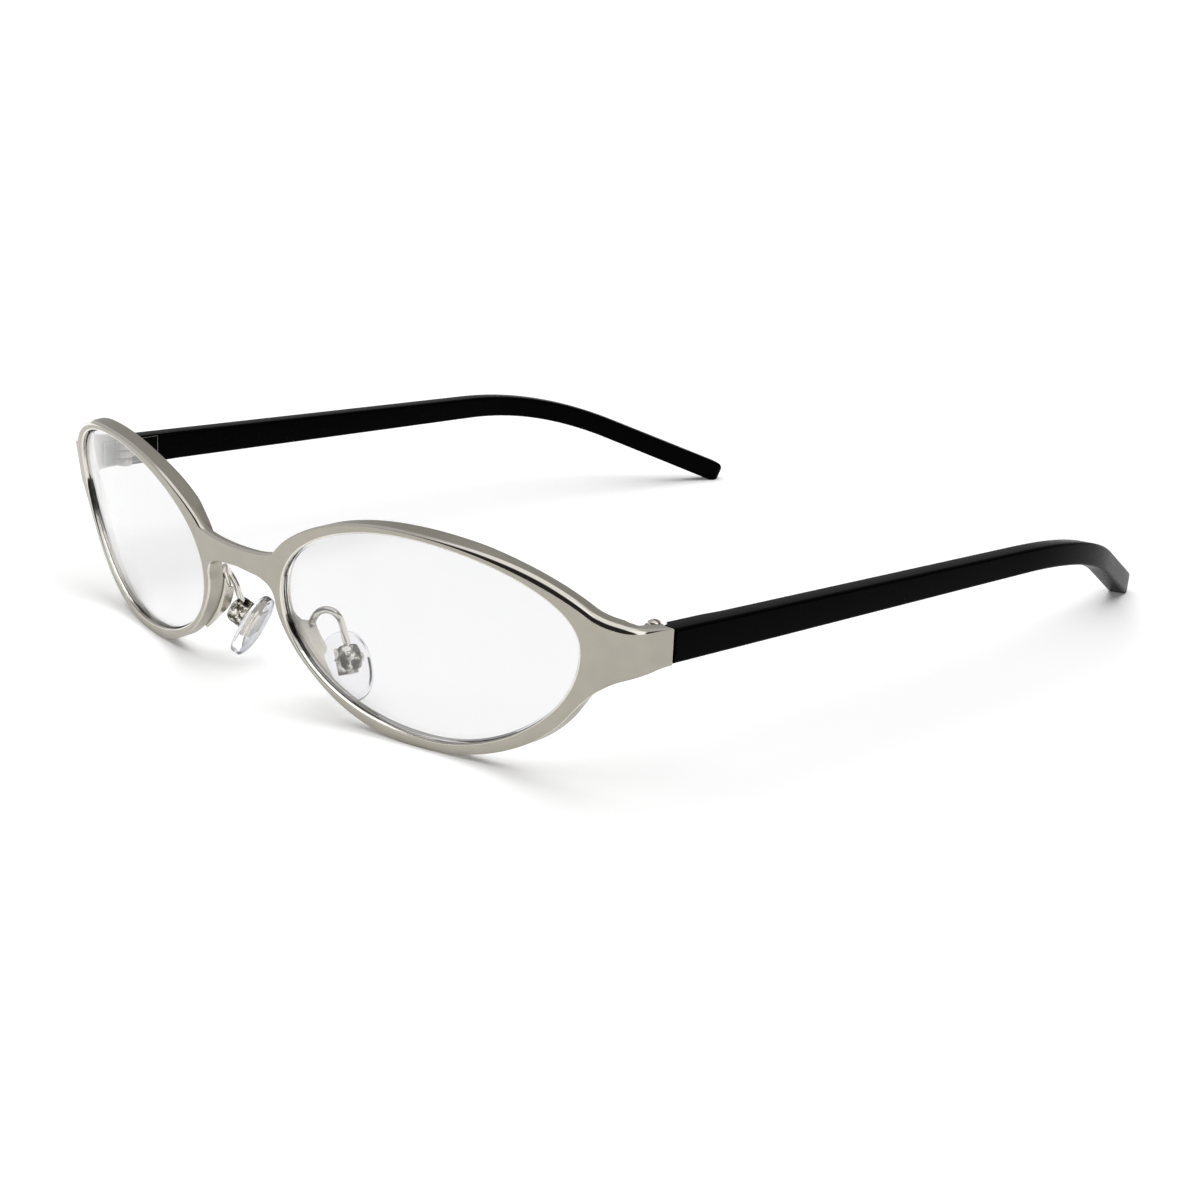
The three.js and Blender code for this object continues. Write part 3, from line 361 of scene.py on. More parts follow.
def add_skin(shape, points, rows, place):
    """Adds a ring of points, extruded once for each further row, and puts each where place says.

    Every vertex keeps its row and its point. Gives back the edges of the first and the last row.
    """
    layers = shape.verts.layers.int
    row_of = layers.get("row") or layers.new("row")
    point_of = layers.get("point") or layers.new("point")
    ring = bmesh.ops.create_circle(shape, segments=points, radius=1)["verts"]
    for i, v in enumerate(ring):
        v[point_of] = i
    in_ring = set(ring)
    edges = first_edges = [e for e in shape.edges if in_ring.issuperset(e.verts)]
    for row in range(rows):
        if row:
            made = bmesh.ops.extrude_edge_only(shape, edges=edges)["geom"]
            ring, edges = verts_in(made), open_edges(made)
        for v in ring:
            v[row_of] = row
            v.co = place(row, v[point_of])
    return first_edges, edges


def rim_place(row, point):
    """A row's place at a station, on the wrapped front; the last row lies on the first one."""
    place, depth = rim_flat(stations[point], row % len(RIM_ROWS))
    return on_wrap(place.x, place.y, depth)


bm = bmesh.new()
add_skin(bm, len(stations), len(RIM_ROWS) + 1, rim_place)
station_of, row_of = bm.verts.layers.int["point"], bm.verts.layers.int["row"]
for f in bm.faces:
    f.material_index = RIM_ROWS[max(v[row_of] for v in f.verts) % len(RIM_ROWS)][3]
for v in bm.verts:
    v[row_of] %= len(RIM_ROWS)


def is_open(face):
    """Whether a face of the outer wall lies where the end piece or the other half goes on."""
    rows = [v[row_of] for v in face.verts]
    here = sorted({v[station_of] for v in face.verts})
    station = stations[here[-1] if here[-1] - here[0] > 1 else here[0]]
    last = LAST_WALL_ROW if station.at_cut else LAST_PLATE_ROW
    return station.open_next and min(rows) >= FIRST_WALL_ROW and max(rows) <= last


bmesh.ops.delete(bm, geom=[f for f in bm.faces if is_open(f)], context="FACES")
MERGE = 1e-4
bmesh.ops.remove_doubles(bm, verts=bm.verts, dist=MERGE)

# The end piece goes on from the open section beside the eye
END_SPACING, END_ROUND = 0.4, 0.3
edges = [e for e in open_edges(bm.edges) if all(stations[v[station_of]].at_cut for v in e.verts)]


def end_place(along, vert, shrink=0.0):
    """A vertex of the end piece's section, carried on to a place further along it."""
    station, row = stations[vert[station_of]], vert[row_of]
    edge, sign = (top_edge, 1) if station.share < 0.5 else (low_edge, -1)
    spare = 0.05
    slope = (edge_height(edge, along + spare) - edge_height(edge, along - spare)) / (2 * spare)
    crease = Vector((along, mix(edge_height(top_edge, along), edge_height(low_edge, along), station.share)))
    here = Station(crease, Vector((-slope, 1)).normalized() * sign, station.upper, 0, False)
    here.settle(0)
    if 0 < station.share < 1:
        place, depth = crease, 0 if row == FIRST_WALL_ROW else FRONT_DEPTH
    else:
        place, depth = rim_flat(here, row)
    height = end_middle + (place.y - end_middle) * (1 - 2 * shrink / END_HEIGHT)
    depth = FRONT_DEPTH / 2 + (depth - FRONT_DEPTH / 2) * (1 - 2 * shrink / FRONT_DEPTH)
    upright = smoothstep(along, bend_start, end_along - END_ROUND)
    return on_wrap(place.x + (height - end_middle) * math.tan(PANTO_TILT) * upright, height, depth)


count = round((end_along - rim_cut) / END_SPACING)
run = [(mix(rim_cut, end_along - END_ROUND, (i + 1) / count), 0) for i in range(count)]
for angle in (30, 60, 90):
    turned = math.radians(angle)
    run.append((end_along - END_ROUND * (1 - math.sin(turned)), END_ROUND * (1 - math.cos(turned))))
for along, shrink in run:
    made = bmesh.ops.extrude_edge_only(bm, edges=edges)["geom"]
    edges = open_edges(made)
    for v in verts_in(made):
        v.co = end_place(along, v, shrink)
    for e in edges:
        first, last = sorted(v[row_of] for v in e.verts)
        rounded = first != last and RIM_ROWS[last][0] == "edge" and stations[e.verts[0][station_of]].upper
        e.link_faces[0].material_index = POLISHED if rounded or shrink > 0 else SATIN
for f in bmesh.ops.contextual_create(bm, geom=edges)["faces"]:
    f.material_index = SATIN

bmesh.ops.mirror(bm, geom=bm.verts[:] + bm.edges[:] + bm.faces[:], matrix=Matrix.Identity(4),
                 merge_dist=MERGE, axis="X")
bmesh.ops.remove_doubles(bm, verts=bm.verts, dist=MERGE)
bmesh.ops.recalc_face_normals(bm, faces=bm.faces)

# The front leans forward at the top and is rubbed flat where its rims stand
front_tilt = Matrix.Rotation(PANTO_TILT, 4, "X")
bm.transform(front_tilt)
front_lift = -REST_FLAT - min(v.co.z for v in bm.verts)
front_place = Matrix.Translation((0, FOOTPRINT_SHIFT, front_lift)) @ front_tilt
bmesh.ops.translate(bm, verts=bm.verts, vec=(0, FOOTPRINT_SHIFT, front_lift))
for v in bm.verts:
    v.co.z = max(v.co.z, 0)


def linear(code):
    """A colour from its sRGB hex code, turned to linear."""
    parts = [int(code[k:k + 2], 16) / 255 for k in (1, 3, 5)]
    return tuple(p / 12.92 if p <= 0.04045 else ((p + 0.055) / 1.055) ** 2.4 for p in parts) + (1.0,)


def add_node(tree, kind, inputs=(), **settings):
    """Adds a node, gives it its settings, and sets or links its inputs."""
    node = tree.nodes.new(kind)
    for name, value in settings.items():
        setattr(node, name, value)
    for name, value in dict(inputs).items():
        if isinstance(value, bpy.types.NodeSocket):
            tree.links.new(value, node.inputs[name])
        else:
            node.inputs[name].default_value = value
    return node


def new_material(name):
    """An empty material with its output node."""
    material = bpy.data.materials.new(name)
    material.use_nodes = True
    material.node_tree.nodes.clear()
    return material, material.node_tree, add_node(material.node_tree, "ShaderNodeOutputMaterial")


def mottled_finish(name, spot_mm, detail, roughness, tones, inputs):
    """A material whose gloss and tone wander together, in spots of a real size.

    Gives back its nodes, spots, tone and shader too, for a finish that needs more.
    """
    material, tree, output = new_material(name)
    place = add_node(tree, "ShaderNodeTexCoord")
    spots = add_node(tree, "ShaderNodeTexNoise", {
        "Vector": place.outputs["Object"], "Scale": 1000 / spot_mm, "Detail": detail})
    rough = add_node(tree, "ShaderNodeMapRange", {
        "Value": spots.outputs["Fac"], "To Min": roughness[0], "To Max": roughness[1]})
    tone = add_node(tree, "ShaderNodeMix", {
        "Factor": spots.outputs["Fac"], 6: linear(tones[0]), 7: linear(tones[1])}, data_type="RGBA")
    shader = add_node(tree, "ShaderNodeBsdfPrincipled", {
        "Base Color": tone.outputs[2], "Roughness": rough.outputs["Result"], **inputs})
    tree.links.new(shader.outputs["BSDF"], output.inputs["Surface"])
    return material, tree, spots, tone, shader


# Nickel silver, bead blasted: a warm grey with a soft even sheen and a very fine grain.
# The real grain is about 0.05 mm; it is drawn at 0.22 mm so that it shows.
GRAIN_MM, CLOUD_MM = 0.22, 4.0
satin_metal, tree, grain, tone, shader = mottled_finish(
    "bead_blasted_nickel_silver", GRAIN_MM, 2.0, (0.3, 0.46), ("#A39E93", "#B1ACA1"), {"Metallic": 1.0})
place = add_node(tree, "ShaderNodeTexCoord")
cloud = add_node(tree, "ShaderNodeTexNoise", {
    "Vector": place.outputs["Object"], "Scale": 1000 / CLOUD_MM, "Detail": 3.0})
bump = add_node(tree, "ShaderNodeBump", {"Height": grain.outputs["Fac"], "Strength": 0.12, "Distance": 0.00004})
tree.links.new(cloud.outputs["Fac"], tone.inputs["Factor"])
tree.links.new(bump.outputs["Normal"], shader.inputs["Normal"])

# The same metal, polished on a wheel: it mirrors the room, with faint wheel marks.
POLISH_MARK_MM = 0.6
polished_metal, *_ = mottled_finish(
    "wheel_polished_nickel_silver", POLISH_MARK_MM, 4.0, (0.05, 0.14), ("#D6D1C8", "#E2DED6"), {"Metallic": 1.0})

SHARP_ANGLE, MILLIMETRE = math.radians(40), 0.001
SIDES = (("left", 1), ("right", -1))


def make_piece(name, shape, side, *finishes):
    """A finished object from a left-hand shape in millimetres; side -1 gives its mirror image."""
    shape = shape.copy()
    shape.transform(Matrix.Diagonal((side * MILLIMETRE, MILLIMETRE, MILLIMETRE, 1)))
    if side < 0:
        bmesh.ops.reverse_faces(shape, faces=shape.faces)
    for e in shape.edges:
        one_finish = len({f.material_index for f in e.link_faces}) == 1
        e.smooth = one_finish and e.calc_face_angle(0) < SHARP_ANGLE
    for f in shape.faces:
        f.smooth = True
    mesh = bpy.data.meshes.new(name)
    shape.to_mesh(mesh)
    shape.free()
    for finish in finishes:
        mesh.materials.append(finish)
    piece = bpy.data.objects.new(name, mesh)
    bpy.context.scene.collection.objects.link(piece)
    return piece


front = make_piece("satin_front", bm, 1, satin_metal, polished_metal)
bm.free()
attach(front, "front")
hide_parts("front_frame")

# ---------------------------------------------------------------------------------------------
# Lenses: clear spectacle resin, cast and polished, thin and a little crowned.
# Each has a bevelled edge that is snapped into the groove of its rim.
# ---------------------------------------------------------------------------------------------
LENS_THICKNESS, LENS_BULGE, LENS_CLEARANCE = 1.2, 0.8, 0.2
LENS_SIDES = 144
lens_front = groove_middle - LENS_THICKNESS / 2
lens_bevel = GROOVE_WIDTH / 2 - LENS_CLEARANCE
LENS_SCALES = (0, 0.15, 0.3, 0.45, 0.6, 0.75, 0.88, 0.96, 1)
# Rows from the front's middle over the bevelled edge to the back's middle: scale, way out and depth
front_rows = [(scale, -LENS_CLEARANCE, lens_front - LENS_BULGE * (1 - scale * scale)) for scale in LENS_SCALES]
bevel_rows = [(1, -LENS_CLEARANCE, groove_middle - lens_bevel), (1, GROOVE_DEPTH - LENS_CLEARANCE, groove_middle),
              (1, -LENS_CLEARANCE, groove_middle + lens_bevel)]
back_rows = [(scale, out, depth + LENS_THICKNESS) for scale, out, depth in reversed(front_rows)]
lens_rows = front_rows + bevel_rows + back_rows


def lens_place(row, point):
    """A point of a lens row: the eye's outline, scaled about its middle."""
    scale, out, depth = lens_rows[row]
    place = eye_middle + (eye_at(-2 * math.pi * point / LENS_SIDES, out) - eye_middle) * scale
    return on_wrap(place.x, place.y, depth)


bm = bmesh.new()
add_skin(bm, LENS_SIDES, len(lens_rows), lens_place)
bmesh.ops.remove_doubles(bm, verts=bm.verts, dist=MERGE)
bmesh.ops.recalc_face_normals(bm, faces=bm.faces)
bm.transform(front_place)

# Spectacle resin with a hard coat: clear, hardly tinted, with the faintest uneven gloss.
SMEAR_MM = 9.0
lens_resin, *_ = mottled_finish(
    "polished_lens_resin", SMEAR_MM, 2.0, (0.0, 0.008), ("#E9E9EA", "#ECECED"),
    {"IOR": 1.5, "Transmission Weight": 1.0})

for name, side in SIDES:
    lens = make_piece(f"{name}_clear_lens", bm, side, lens_resin)
    lens.visible_shadow = False
    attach(lens, "front")
    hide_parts(f"{name}_lens")
bm.free()

# ---------------------------------------------------------------------------------------------
# Hinge halves on the end pieces: a brazed leaf with two knuckles, machined from the same metal.
# The temple's knuckle sits between them.
# ---------------------------------------------------------------------------------------------
HINGE_HEIGHT, KNUCKLE_RADIUS, KNUCKLE_GAP = 4.0, 1.3, 0.2
LEAF_THICKNESS, FRONT_LEAF_LENGTH = 0.8, 3.0
SEAT_GAP, JOINT_GAP = 0.05, 0.3
HINGE_EDGE, EDGE_SEGMENTS = 0.12, 2
# A knuckle's stem ends just under the far side of the leaf that it is cut from
SUNK = 0.02
end_corner = front_place @ on_wrap(end_along, end_middle, 0)
end_inside = FRONT_WIDTH / 2 - FRONT_DEPTH
axis_x = end_inside - SEAT_GAP - KNUCKLE_RADIUS
axis_y = end_corner.y + JOINT_GAP / 2
hinge_low, hinge_high = end_corner.z - HINGE_HEIGHT / 2, end_corner.z + HINGE_HEIGHT / 2
knuckle_height = (HINGE_HEIGHT - 2 * KNUCKLE_GAP) / 3
middle_low = hinge_low + knuckle_height + KNUCKLE_GAP
middle_high = middle_low + knuckle_height


def add_block(shape, low, high, bevel, edge_finish=0):
    """Adds a box with rounded edges between its lowest and highest corners."""
    low, high = Vector(low), Vector(high)
    verts = bmesh.ops.create_cube(shape, size=1)["verts"]
    bmesh.ops.scale(shape, verts=verts, vec=high - low)
    bmesh.ops.translate(shape, verts=verts, vec=(low + high) / 2)
    block_edges = list({e for v in verts for e in v.link_edges})
    made = bmesh.ops.bevel(shape, geom=block_edges, offset=bevel, segments=EDGE_SEGMENTS, profile=0.5,
                           affect="EDGES", material=-1)
    for f in made["faces"]:
        f.material_index = edge_finish


KNUCKLE_SIDES, CORNER_ANGLE = 40, math.radians(60)


def add_knuckle(shape, low, high, stem, start, sweep):
    """Adds a hinge knuckle: an arc about the axis and the two corners of a stem, extruded upright."""
    axis = Vector((axis_x, axis_y))
    turns = [start + sweep * k / KNUCKLE_SIDES for k in range(KNUCKLE_SIDES + 1)]
    arc = [KNUCKLE_RADIUS * Vector((math.cos(turned), math.sin(turned))) for turned in turns]
    outline = [bmesh.ops.create_vert(shape, co=(*(axis + Vector(place)), low))["vert"][0]
               for place in (stem[0], *arc, stem[1])]
    face = bmesh.ops.contextual_create(shape, geom=outline)["faces"]
    raised = verts_in(bmesh.ops.extrude_face_region(shape, geom=face)["geom"])
    bmesh.ops.translate(shape, verts=raised, vec=(0, 0, high - low))
    of_knuckle = {*outline, *raised}
    sharp = [e for e in shape.edges if len(e.link_faces) == 2 and of_knuckle.issuperset(e.verts)
             and e.calc_face_angle(0) > CORNER_ANGLE]
    bmesh.ops.bevel(shape, geom=sharp, offset=HINGE_EDGE, segments=EDGE_SEGMENTS, profile=0.5, affect="EDGES",
                    material=-1)


STEM_LENGTH, FRONT_ARC_START, FRONT_ARC_SWEEP = 0.6, -math.pi / 2, -1.5 * math.pi
leaf_back = end_corner.y - JOINT_GAP
leaf_outside = end_inside - SEAT_GAP
bm = bmesh.new()
add_block(bm, (leaf_outside - LEAF_THICKNESS, leaf_back - FRONT_LEAF_LENGTH, hinge_low),
          (leaf_outside, leaf_back, hinge_high), HINGE_EDGE, 1)
leaf_faces = set(bm.faces)
for low in (hinge_low, middle_high + KNUCKLE_GAP):
    stem_x = leaf_outside - SUNK - axis_x
    stem = (stem_x, leaf_back - STEM_LENGTH - axis_y), (stem_x, leaf_back - SUNK - axis_y)
    add_knuckle(bm, low, low + knuckle_height, stem, FRONT_ARC_START, FRONT_ARC_SWEEP)
for f in set(bm.faces) - leaf_faces:
    f.material_index = 1
bmesh.ops.recalc_face_normals(bm, faces=bm.faces)

# Black enamel on the leaf: a thin fired coat with a faint orange-peel gloss. On the end pieces it also
# stands in for the shade inside the end piece: painted shade.
PEEL_MM = 0.5
black_enamel, *_ = mottled_finish(
    "fired_black_enamel", PEEL_MM, 2.0, (0.22, 0.38), ("#020202", "#050505"), {"Specular IOR Level": 0.02})

# On the end pieces the leaf's black is partly painted shade.
for name, side in SIDES:
    hinge = make_piece(f"{name}_end_piece_hinge", bm, side, black_enamel, satin_metal)
    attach(hinge, "front")
    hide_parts(f"{name}_front_hinge")
bm.free()

# ---------------------------------------------------------------------------------------------
# Temples: slim bars of black cellulose acetate, milled, tumbled and polished, with a wire core.
# Each is bent down and in at the ear, and let in on the inside for the hinge plate.
# ---------------------------------------------------------------------------------------------
TEMPLE_THICKNESS, TEMPLE_LEAF_LENGTH, TURN_CLEARANCE, FIT_CLEARANCE = 3.2, 5.6, 0.3, 0.12
TEMPLE_HEIGHT_FRONT, TEMPLE_HEIGHT_BEND, TEMPLE_HEIGHT_TIP = 4.8, 3.6, 3.9
TEMPLE_EDGE, POCKET_EDGE, POCKET_FADES, TEMPLE_STRAIGHT = 0.5, 0.2, 12, 95.5
TEMPLE_SLOPE = math.radians(-1.35)
TIP_LENGTH, TIP_BEND_REACH, TIP_ROUND, TIP_LEAST = 44.0, 17.5, 1.6, 0.45
TIP_TURN_IN = math.radians(23)
CORNER_STEPS, BEND_STEPS = 5, 18
temple_inside = FRONT_WIDTH / 2 - TEMPLE_THICKNESS
temple_start = end_corner.y + JOINT_GAP
plate_front = axis_y + KNUCKLE_RADIUS + TURN_CLEARANCE
plate_back = plate_front + TEMPLE_LEAF_LENGTH
temple_axis = Vector((0, math.cos(TEMPLE_SLOPE), math.sin(TEMPLE_SLOPE)))
temple_root = Vector((FRONT_WIDTH / 2 - TEMPLE_THICKNESS / 2, temple_start, end_corner.z))
temple_bend = temple_root + temple_axis * TEMPLE_STRAIGHT
tip_run = TIP_LENGTH - TIP_ROUND
# The tip drops until its end stands on the floor, found in small steps
tip_drop = 0.0
for _ in range(30):
    tip_drop = math.asin((temple_bend.z - TEMPLE_HEIGHT_TIP / 2 * math.cos(tip_drop)) / tip_run)
tip_axis = Vector((-math.sin(TIP_TURN_IN) * math.cos(tip_drop), math.cos(TIP_TURN_IN) * math.cos(tip_drop),
                   -math.sin(tip_drop)))
straight_end = TEMPLE_STRAIGHT - TIP_BEND_REACH


def bar_corner(station, corner):
    """A point of the rounded bar's outline: across and up from the middle of its section."""
    kind, which, step = corner
    half, up = TEMPLE_THICKNESS / 2 * station["scale"], station["height"] / 2 * station["scale"]
    inner = -half + station["inner"]
    edge = TEMPLE_EDGE * station["scale"]
    if which in (2, 3) or kind == "pocket":
        edge = mix(POCKET_EDGE, edge, station["past_pocket"])
    if kind == "pocket":
        level = min(HINGE_HEIGHT / 2 + FIT_CLEARANCE, up - edge) * (1 if which in (0, 1) else -1)
        return inner + (station["pocket"] if which in (1, 2) else 0), level
    angle = math.radians(-90 + 90 * which) + math.pi / 2 * step / CORNER_STEPS
    across = (half - edge) if which in (0, 1) else (inner + edge)
    level = (up - edge) * (1 if which in (1, 2) else -1)
    return across + edge * math.cos(angle), level + edge * math.sin(angle)


bar_outline = [("corner", which, step) for which in (0, 1, 2) for step in range(CORNER_STEPS + 1)]
bar_outline += [("pocket", which, 0) for which in range(4)]
bar_outline += [("corner", 3, step) for step in range(CORNER_STEPS + 1)]


def temple_station(at, run, height, scale=1.0, inner=0.0, pocket=0.0, past_pocket=1.0):
    """A section of the temple: where it is, its heading and height, and how the hinge is let in."""
    return {"at": at, "run": run, "height": height, "scale": scale, "inner": inner, "pocket": pocket,
            "past_pocket": past_pocket}


def straight_height(along):
    """The temple's height at a place along its straight part."""
    return mix(TEMPLE_HEIGHT_FRONT, TEMPLE_HEIGHT_BEND, min(along / TEMPLE_STRAIGHT, 1))


# Stations along the straight part: close together round the knuckle and at the pocket's end
temple_stations = []
room = KNUCKLE_RADIUS + TURN_CLEARANCE
pocket_depth = LEAF_THICKNESS + FIT_CLEARANCE
pocket_end = plate_back + FIT_CLEARANCE - temple_start
front_places = [0, 0.2, 0.5, 0.8, 1.1, 1.3, 1.42, 1.5, 3, pocket_end, pocket_end, 8, 9, 10, 11, 12, 25, 40, 55, 68,
                straight_end]
for i, along in enumerate(front_places):
    reach = temple_start + along - axis_y
    inner = 0
    if reach < room:
        inner = max(axis_x + math.sqrt(max(room * room - reach * reach, 0)) - temple_inside, 0)
    pocket = max(pocket_depth - inner, 0) if i <= front_places.index(pocket_end) else 0
    temple_stations.append(temple_station(
        temple_root + temple_axis * along, temple_axis, straight_height(along), 1.0, inner, pocket,
        smoothstep(along, pocket_end, POCKET_FADES)))
bend_from, bend_to = temple_bend - temple_axis * TIP_BEND_REACH, temple_bend + tip_axis * TIP_BEND_REACH
for i in range(1, BEND_STEPS + 1):
    share = i / BEND_STEPS
    at = bend_from * (1 - share) ** 2 + temple_bend * 2 * share * (1 - share) + bend_to * share ** 2
    heading = ((temple_bend - bend_from) * (1 - share) + (bend_to - temple_bend) * share).normalized()
    height = mix(straight_height(straight_end + TIP_BEND_REACH * 2 * share),
                 mix(TEMPLE_HEIGHT_BEND, TEMPLE_HEIGHT_TIP, TIP_BEND_REACH / tip_run), share)
    temple_stations.append(temple_station(at, heading, height))
for along in (24.0, 30.0, 36.0, tip_run):
    temple_stations.append(temple_station(temple_bend + tip_axis * along, tip_axis,
                                          mix(TEMPLE_HEIGHT_BEND, TEMPLE_HEIGHT_TIP, along / tip_run)))
for angle in (20, 40, 60, 75):
    turned = math.radians(angle)
    temple_stations.append(temple_station(
        temple_bend + tip_axis * (tip_run + TIP_ROUND * math.sin(turned)), tip_axis, TEMPLE_HEIGHT_TIP,
        mix(TIP_LEAST, 1, math.cos(turned))))


def temple_place(row, point):
    """A point of the bar's outline at a station of the temple."""
    station = temple_stations[row]
    side_way = station["run"].cross(Vector((0, 0, 1))).normalized()
    across, up = bar_corner(station, bar_outline[point])
    return station["at"] + side_way * across + side_way.cross(station["run"]) * up


bm = bmesh.new()
for end_edges in add_skin(bm, len(bar_outline), len(temple_stations), temple_place):
    bmesh.ops.contextual_create(bm, geom=end_edges)
bmesh.ops.remove_doubles(bm, verts=bm.verts, dist=MERGE)
bmesh.ops.recalc_face_normals(bm, faces=bm.faces)
for v in bm.verts:
    v.co.z = max(v.co.z, 0)

# Cellulose acetate, tumbled and polished: deep black with a soft gloss and faint tumbling marks.
TUMBLE_MM = 1.2
black_acetate, *_ = mottled_finish(
    "tumbled_black_acetate", TUMBLE_MM, 4.0, (0.2, 0.34), ("#020202", "#040405"),
    {"IOR": 1.48, "Specular IOR Level": 0.015})

for name, side in SIDES:
    temple = make_piece(f"{name}_black_temple", bm, side, black_acetate)
    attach(temple, f"{name}_temple")
    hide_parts(f"{name}_temple_arm")
bm.free()

# ---------------------------------------------------------------------------------------------
# Hinge halves on the temples: a plate let into the temple's inside, with the middle knuckle.
# Machined from nickel silver; the plate's face is enamelled black and its edges are bare.
# ---------------------------------------------------------------------------------------------
TONGUE_IN_PLATE, TONGUE_INSIDE = 0.5, -0.3
TONGUE_ARC_START, TONGUE_ARC_SWEEP = math.pi / 2 + 0.9, 0.95 * math.pi + 0.6
tongue_end = plate_front + TONGUE_IN_PLATE - axis_y
tongue_outside = temple_inside + LEAF_THICKNESS - SUNK - axis_x
bm = bmesh.new()
add_block(bm, (temple_inside, plate_front, hinge_low), (temple_inside + LEAF_THICKNESS, plate_back, hinge_high),
          HINGE_EDGE, 1)
plate_faces = set(bm.faces)
add_knuckle(bm, middle_low, middle_high, ((TONGUE_INSIDE, tongue_end), (tongue_outside, tongue_end)),
            TONGUE_ARC_START, TONGUE_ARC_SWEEP)
for f in set(bm.faces) - plate_faces:
    f.material_index = 1
bmesh.ops.recalc_face_normals(bm, faces=bm.faces)

for name, side in SIDES:
    hinge = make_piece(f"{name}_temple_plate_hinge", bm, side, black_enamel, satin_metal)
    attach(hinge, f"{name}_temple")
    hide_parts(f"{name}_temple_hinge")
bm.free()

# ---------------------------------------------------------------------------------------------
# Temple cores: drawn nickel-silver wire that stiffens each temple, shot into the warm acetate.
# They lie wholly inside the plastic, so the CAD solids stay as they are, in polished metal.
# ---------------------------------------------------------------------------------------------
for name, _ in SIDES:
    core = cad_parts[f"{name}_temple_core"]
    core.data.materials.clear()
    core.data.materials.append(polished_metal)

# ---------------------------------------------------------------------------------------------
# Hinge screws: turned steel with a slotted dome head, plated and polished.
# Each goes down through the three knuckles of its hinge and is the pin that the temple turns on.
# ---------------------------------------------------------------------------------------------
HINGE_SCREW_RADIUS, SCREW_HEAD_RADIUS, SCREW_HEAD_HEIGHT, SCREW_SLOT = 0.5, 0.9, 0.7, 0.3
SCREW_SIDES, SCREW_ROUND, HEAD_ROUND, HEAD_WALL = 40, 0.08, 0.05, 0.25
FINE_MERGE, PLANE_REACH = 1e-5, 1e-6


def add_turned(shape, profile, sides):
    """Adds a turned piece about the Z axis from radius and height pairs."""
    verts = [bmesh.ops.create_vert(shape, co=(radius, 0, height))["vert"][0] for radius, height in profile]
    line = [shape.edges.new(pair) for pair in zip(verts, verts[1:])]
    bmesh.ops.spin(shape, geom=verts + line, cent=(0, 0, 0), axis=(0, 0, 1), angle=2 * math.pi,
                   steps=sides, use_merge=True, use_duplicate=False)
    bmesh.ops.remove_doubles(shape, verts=shape.verts, dist=FINE_MERGE)
    bmesh.ops.recalc_face_normals(shape, faces=shape.faces)


def cut(shape, at, way):
    """Cuts new edges into a shape where a plane goes through it."""
    bmesh.ops.bisect_plane(shape, geom=shape.verts[:] + shape.edges[:] + shape.faces[:], dist=PLANE_REACH,
                           plane_co=at, plane_no=way)


def cut_slot(shape, width, floor):
    """Sinks a slot along X across the top of a turned piece down to a floor height."""
    for side in (-1, 1):
        cut(shape, (0, side * width / 2, 0), (0, 1, 0))
    cut(shape, (0, 0, floor), (0, 0, 1))
    sunk = [f for f in shape.faces if abs(f.calc_center_median().y) < width / 2
            and f.calc_center_median().z > floor + FINE_MERGE]
    made = bmesh.ops.extrude_face_region(shape, geom=sunk)["geom"]
    bmesh.ops.delete(shape, geom=[f for f in sunk if f.is_valid], context="FACES_ONLY")
    for v in verts_in(made):
        v.co.z = floor
    bmesh.ops.remove_doubles(shape, verts=shape.verts, dist=MERGE)
    bmesh.ops.dissolve_degenerate(shape, edges=shape.edges, dist=FINE_MERGE)
    bmesh.ops.recalc_face_normals(shape, faces=shape.faces)


head_low = SEAT_GAP + HINGE_HEIGHT / 2
dome_low, dome_height = head_low + HEAD_WALL, SCREW_HEAD_HEIGHT - HEAD_WALL
dome = [(SCREW_HEAD_RADIUS * math.cos(math.radians(a)), dome_low + dome_height * math.sin(math.radians(a)))
        for a in range(0, 91, 10)]
bm = bmesh.new()
add_turned(bm, [(0, -HINGE_HEIGHT / 2), (HINGE_SCREW_RADIUS - SCREW_ROUND, -HINGE_HEIGHT / 2),
                (HINGE_SCREW_RADIUS, SCREW_ROUND - HINGE_HEIGHT / 2), (HINGE_SCREW_RADIUS, head_low),
                (SCREW_HEAD_RADIUS - HEAD_ROUND, head_low), (SCREW_HEAD_RADIUS, head_low + HEAD_ROUND), *dome],
           SCREW_SIDES)
cut_slot(bm, SCREW_SLOT, head_low + SCREW_HEAD_HEIGHT / 2)
bmesh.ops.translate(bm, verts=bm.verts, vec=(axis_x, axis_y, end_corner.z))
for name, side in SIDES:
    screw = make_piece(f"{name}_slotted_hinge_screw", bm, side, polished_metal)
    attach(screw, "front")
    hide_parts(f"{name}_hinge_screw")
bm.free()

# ---------------------------------------------------------------------------------------------
# Nose pads: clear silicone, injection moulded round a metal insert.
# Flat ovals, a little crowned towards the nose, with a rounded bead along the edge of the back.
# ---------------------------------------------------------------------------------------------
PAD_LENGTH, PAD_WIDTH, PAD_THICKNESS = 10.4, 7.2, 2.0
PAD_FROM_CENTRE, PAD_BEHIND_FRONT, PAD_HEIGHT = 11.8, 9.0, 4.45
PAD_FULLNESS = 0.84
PAD_FRONTAL, PAD_SPLAY, PAD_LEAN = math.radians(29), math.radians(22), math.radians(17)
PAD_SIDES = 64
pad_up = Vector((-math.tan(PAD_FRONTAL), math.tan(PAD_LEAN), 1)).normalized()
pad_back = Vector((math.sin(PAD_SPLAY), math.cos(PAD_SPLAY), 0))
pad_across = -(pad_back - pad_up * pad_back.dot(pad_up)).normalized()
pad_out = pad_up.cross(pad_across)
pad_frame = Matrix.Translation((PAD_FROM_CENTRE, PAD_BEHIND_FRONT, PAD_HEIGHT)) @ Matrix(
    (pad_across, pad_out, pad_up)).transposed().to_4x4()
pad_place = front_place @ pad_frame
pad_back_face = PAD_THICKNESS / 4
pad_rise = PAD_THICKNESS - pad_back_face
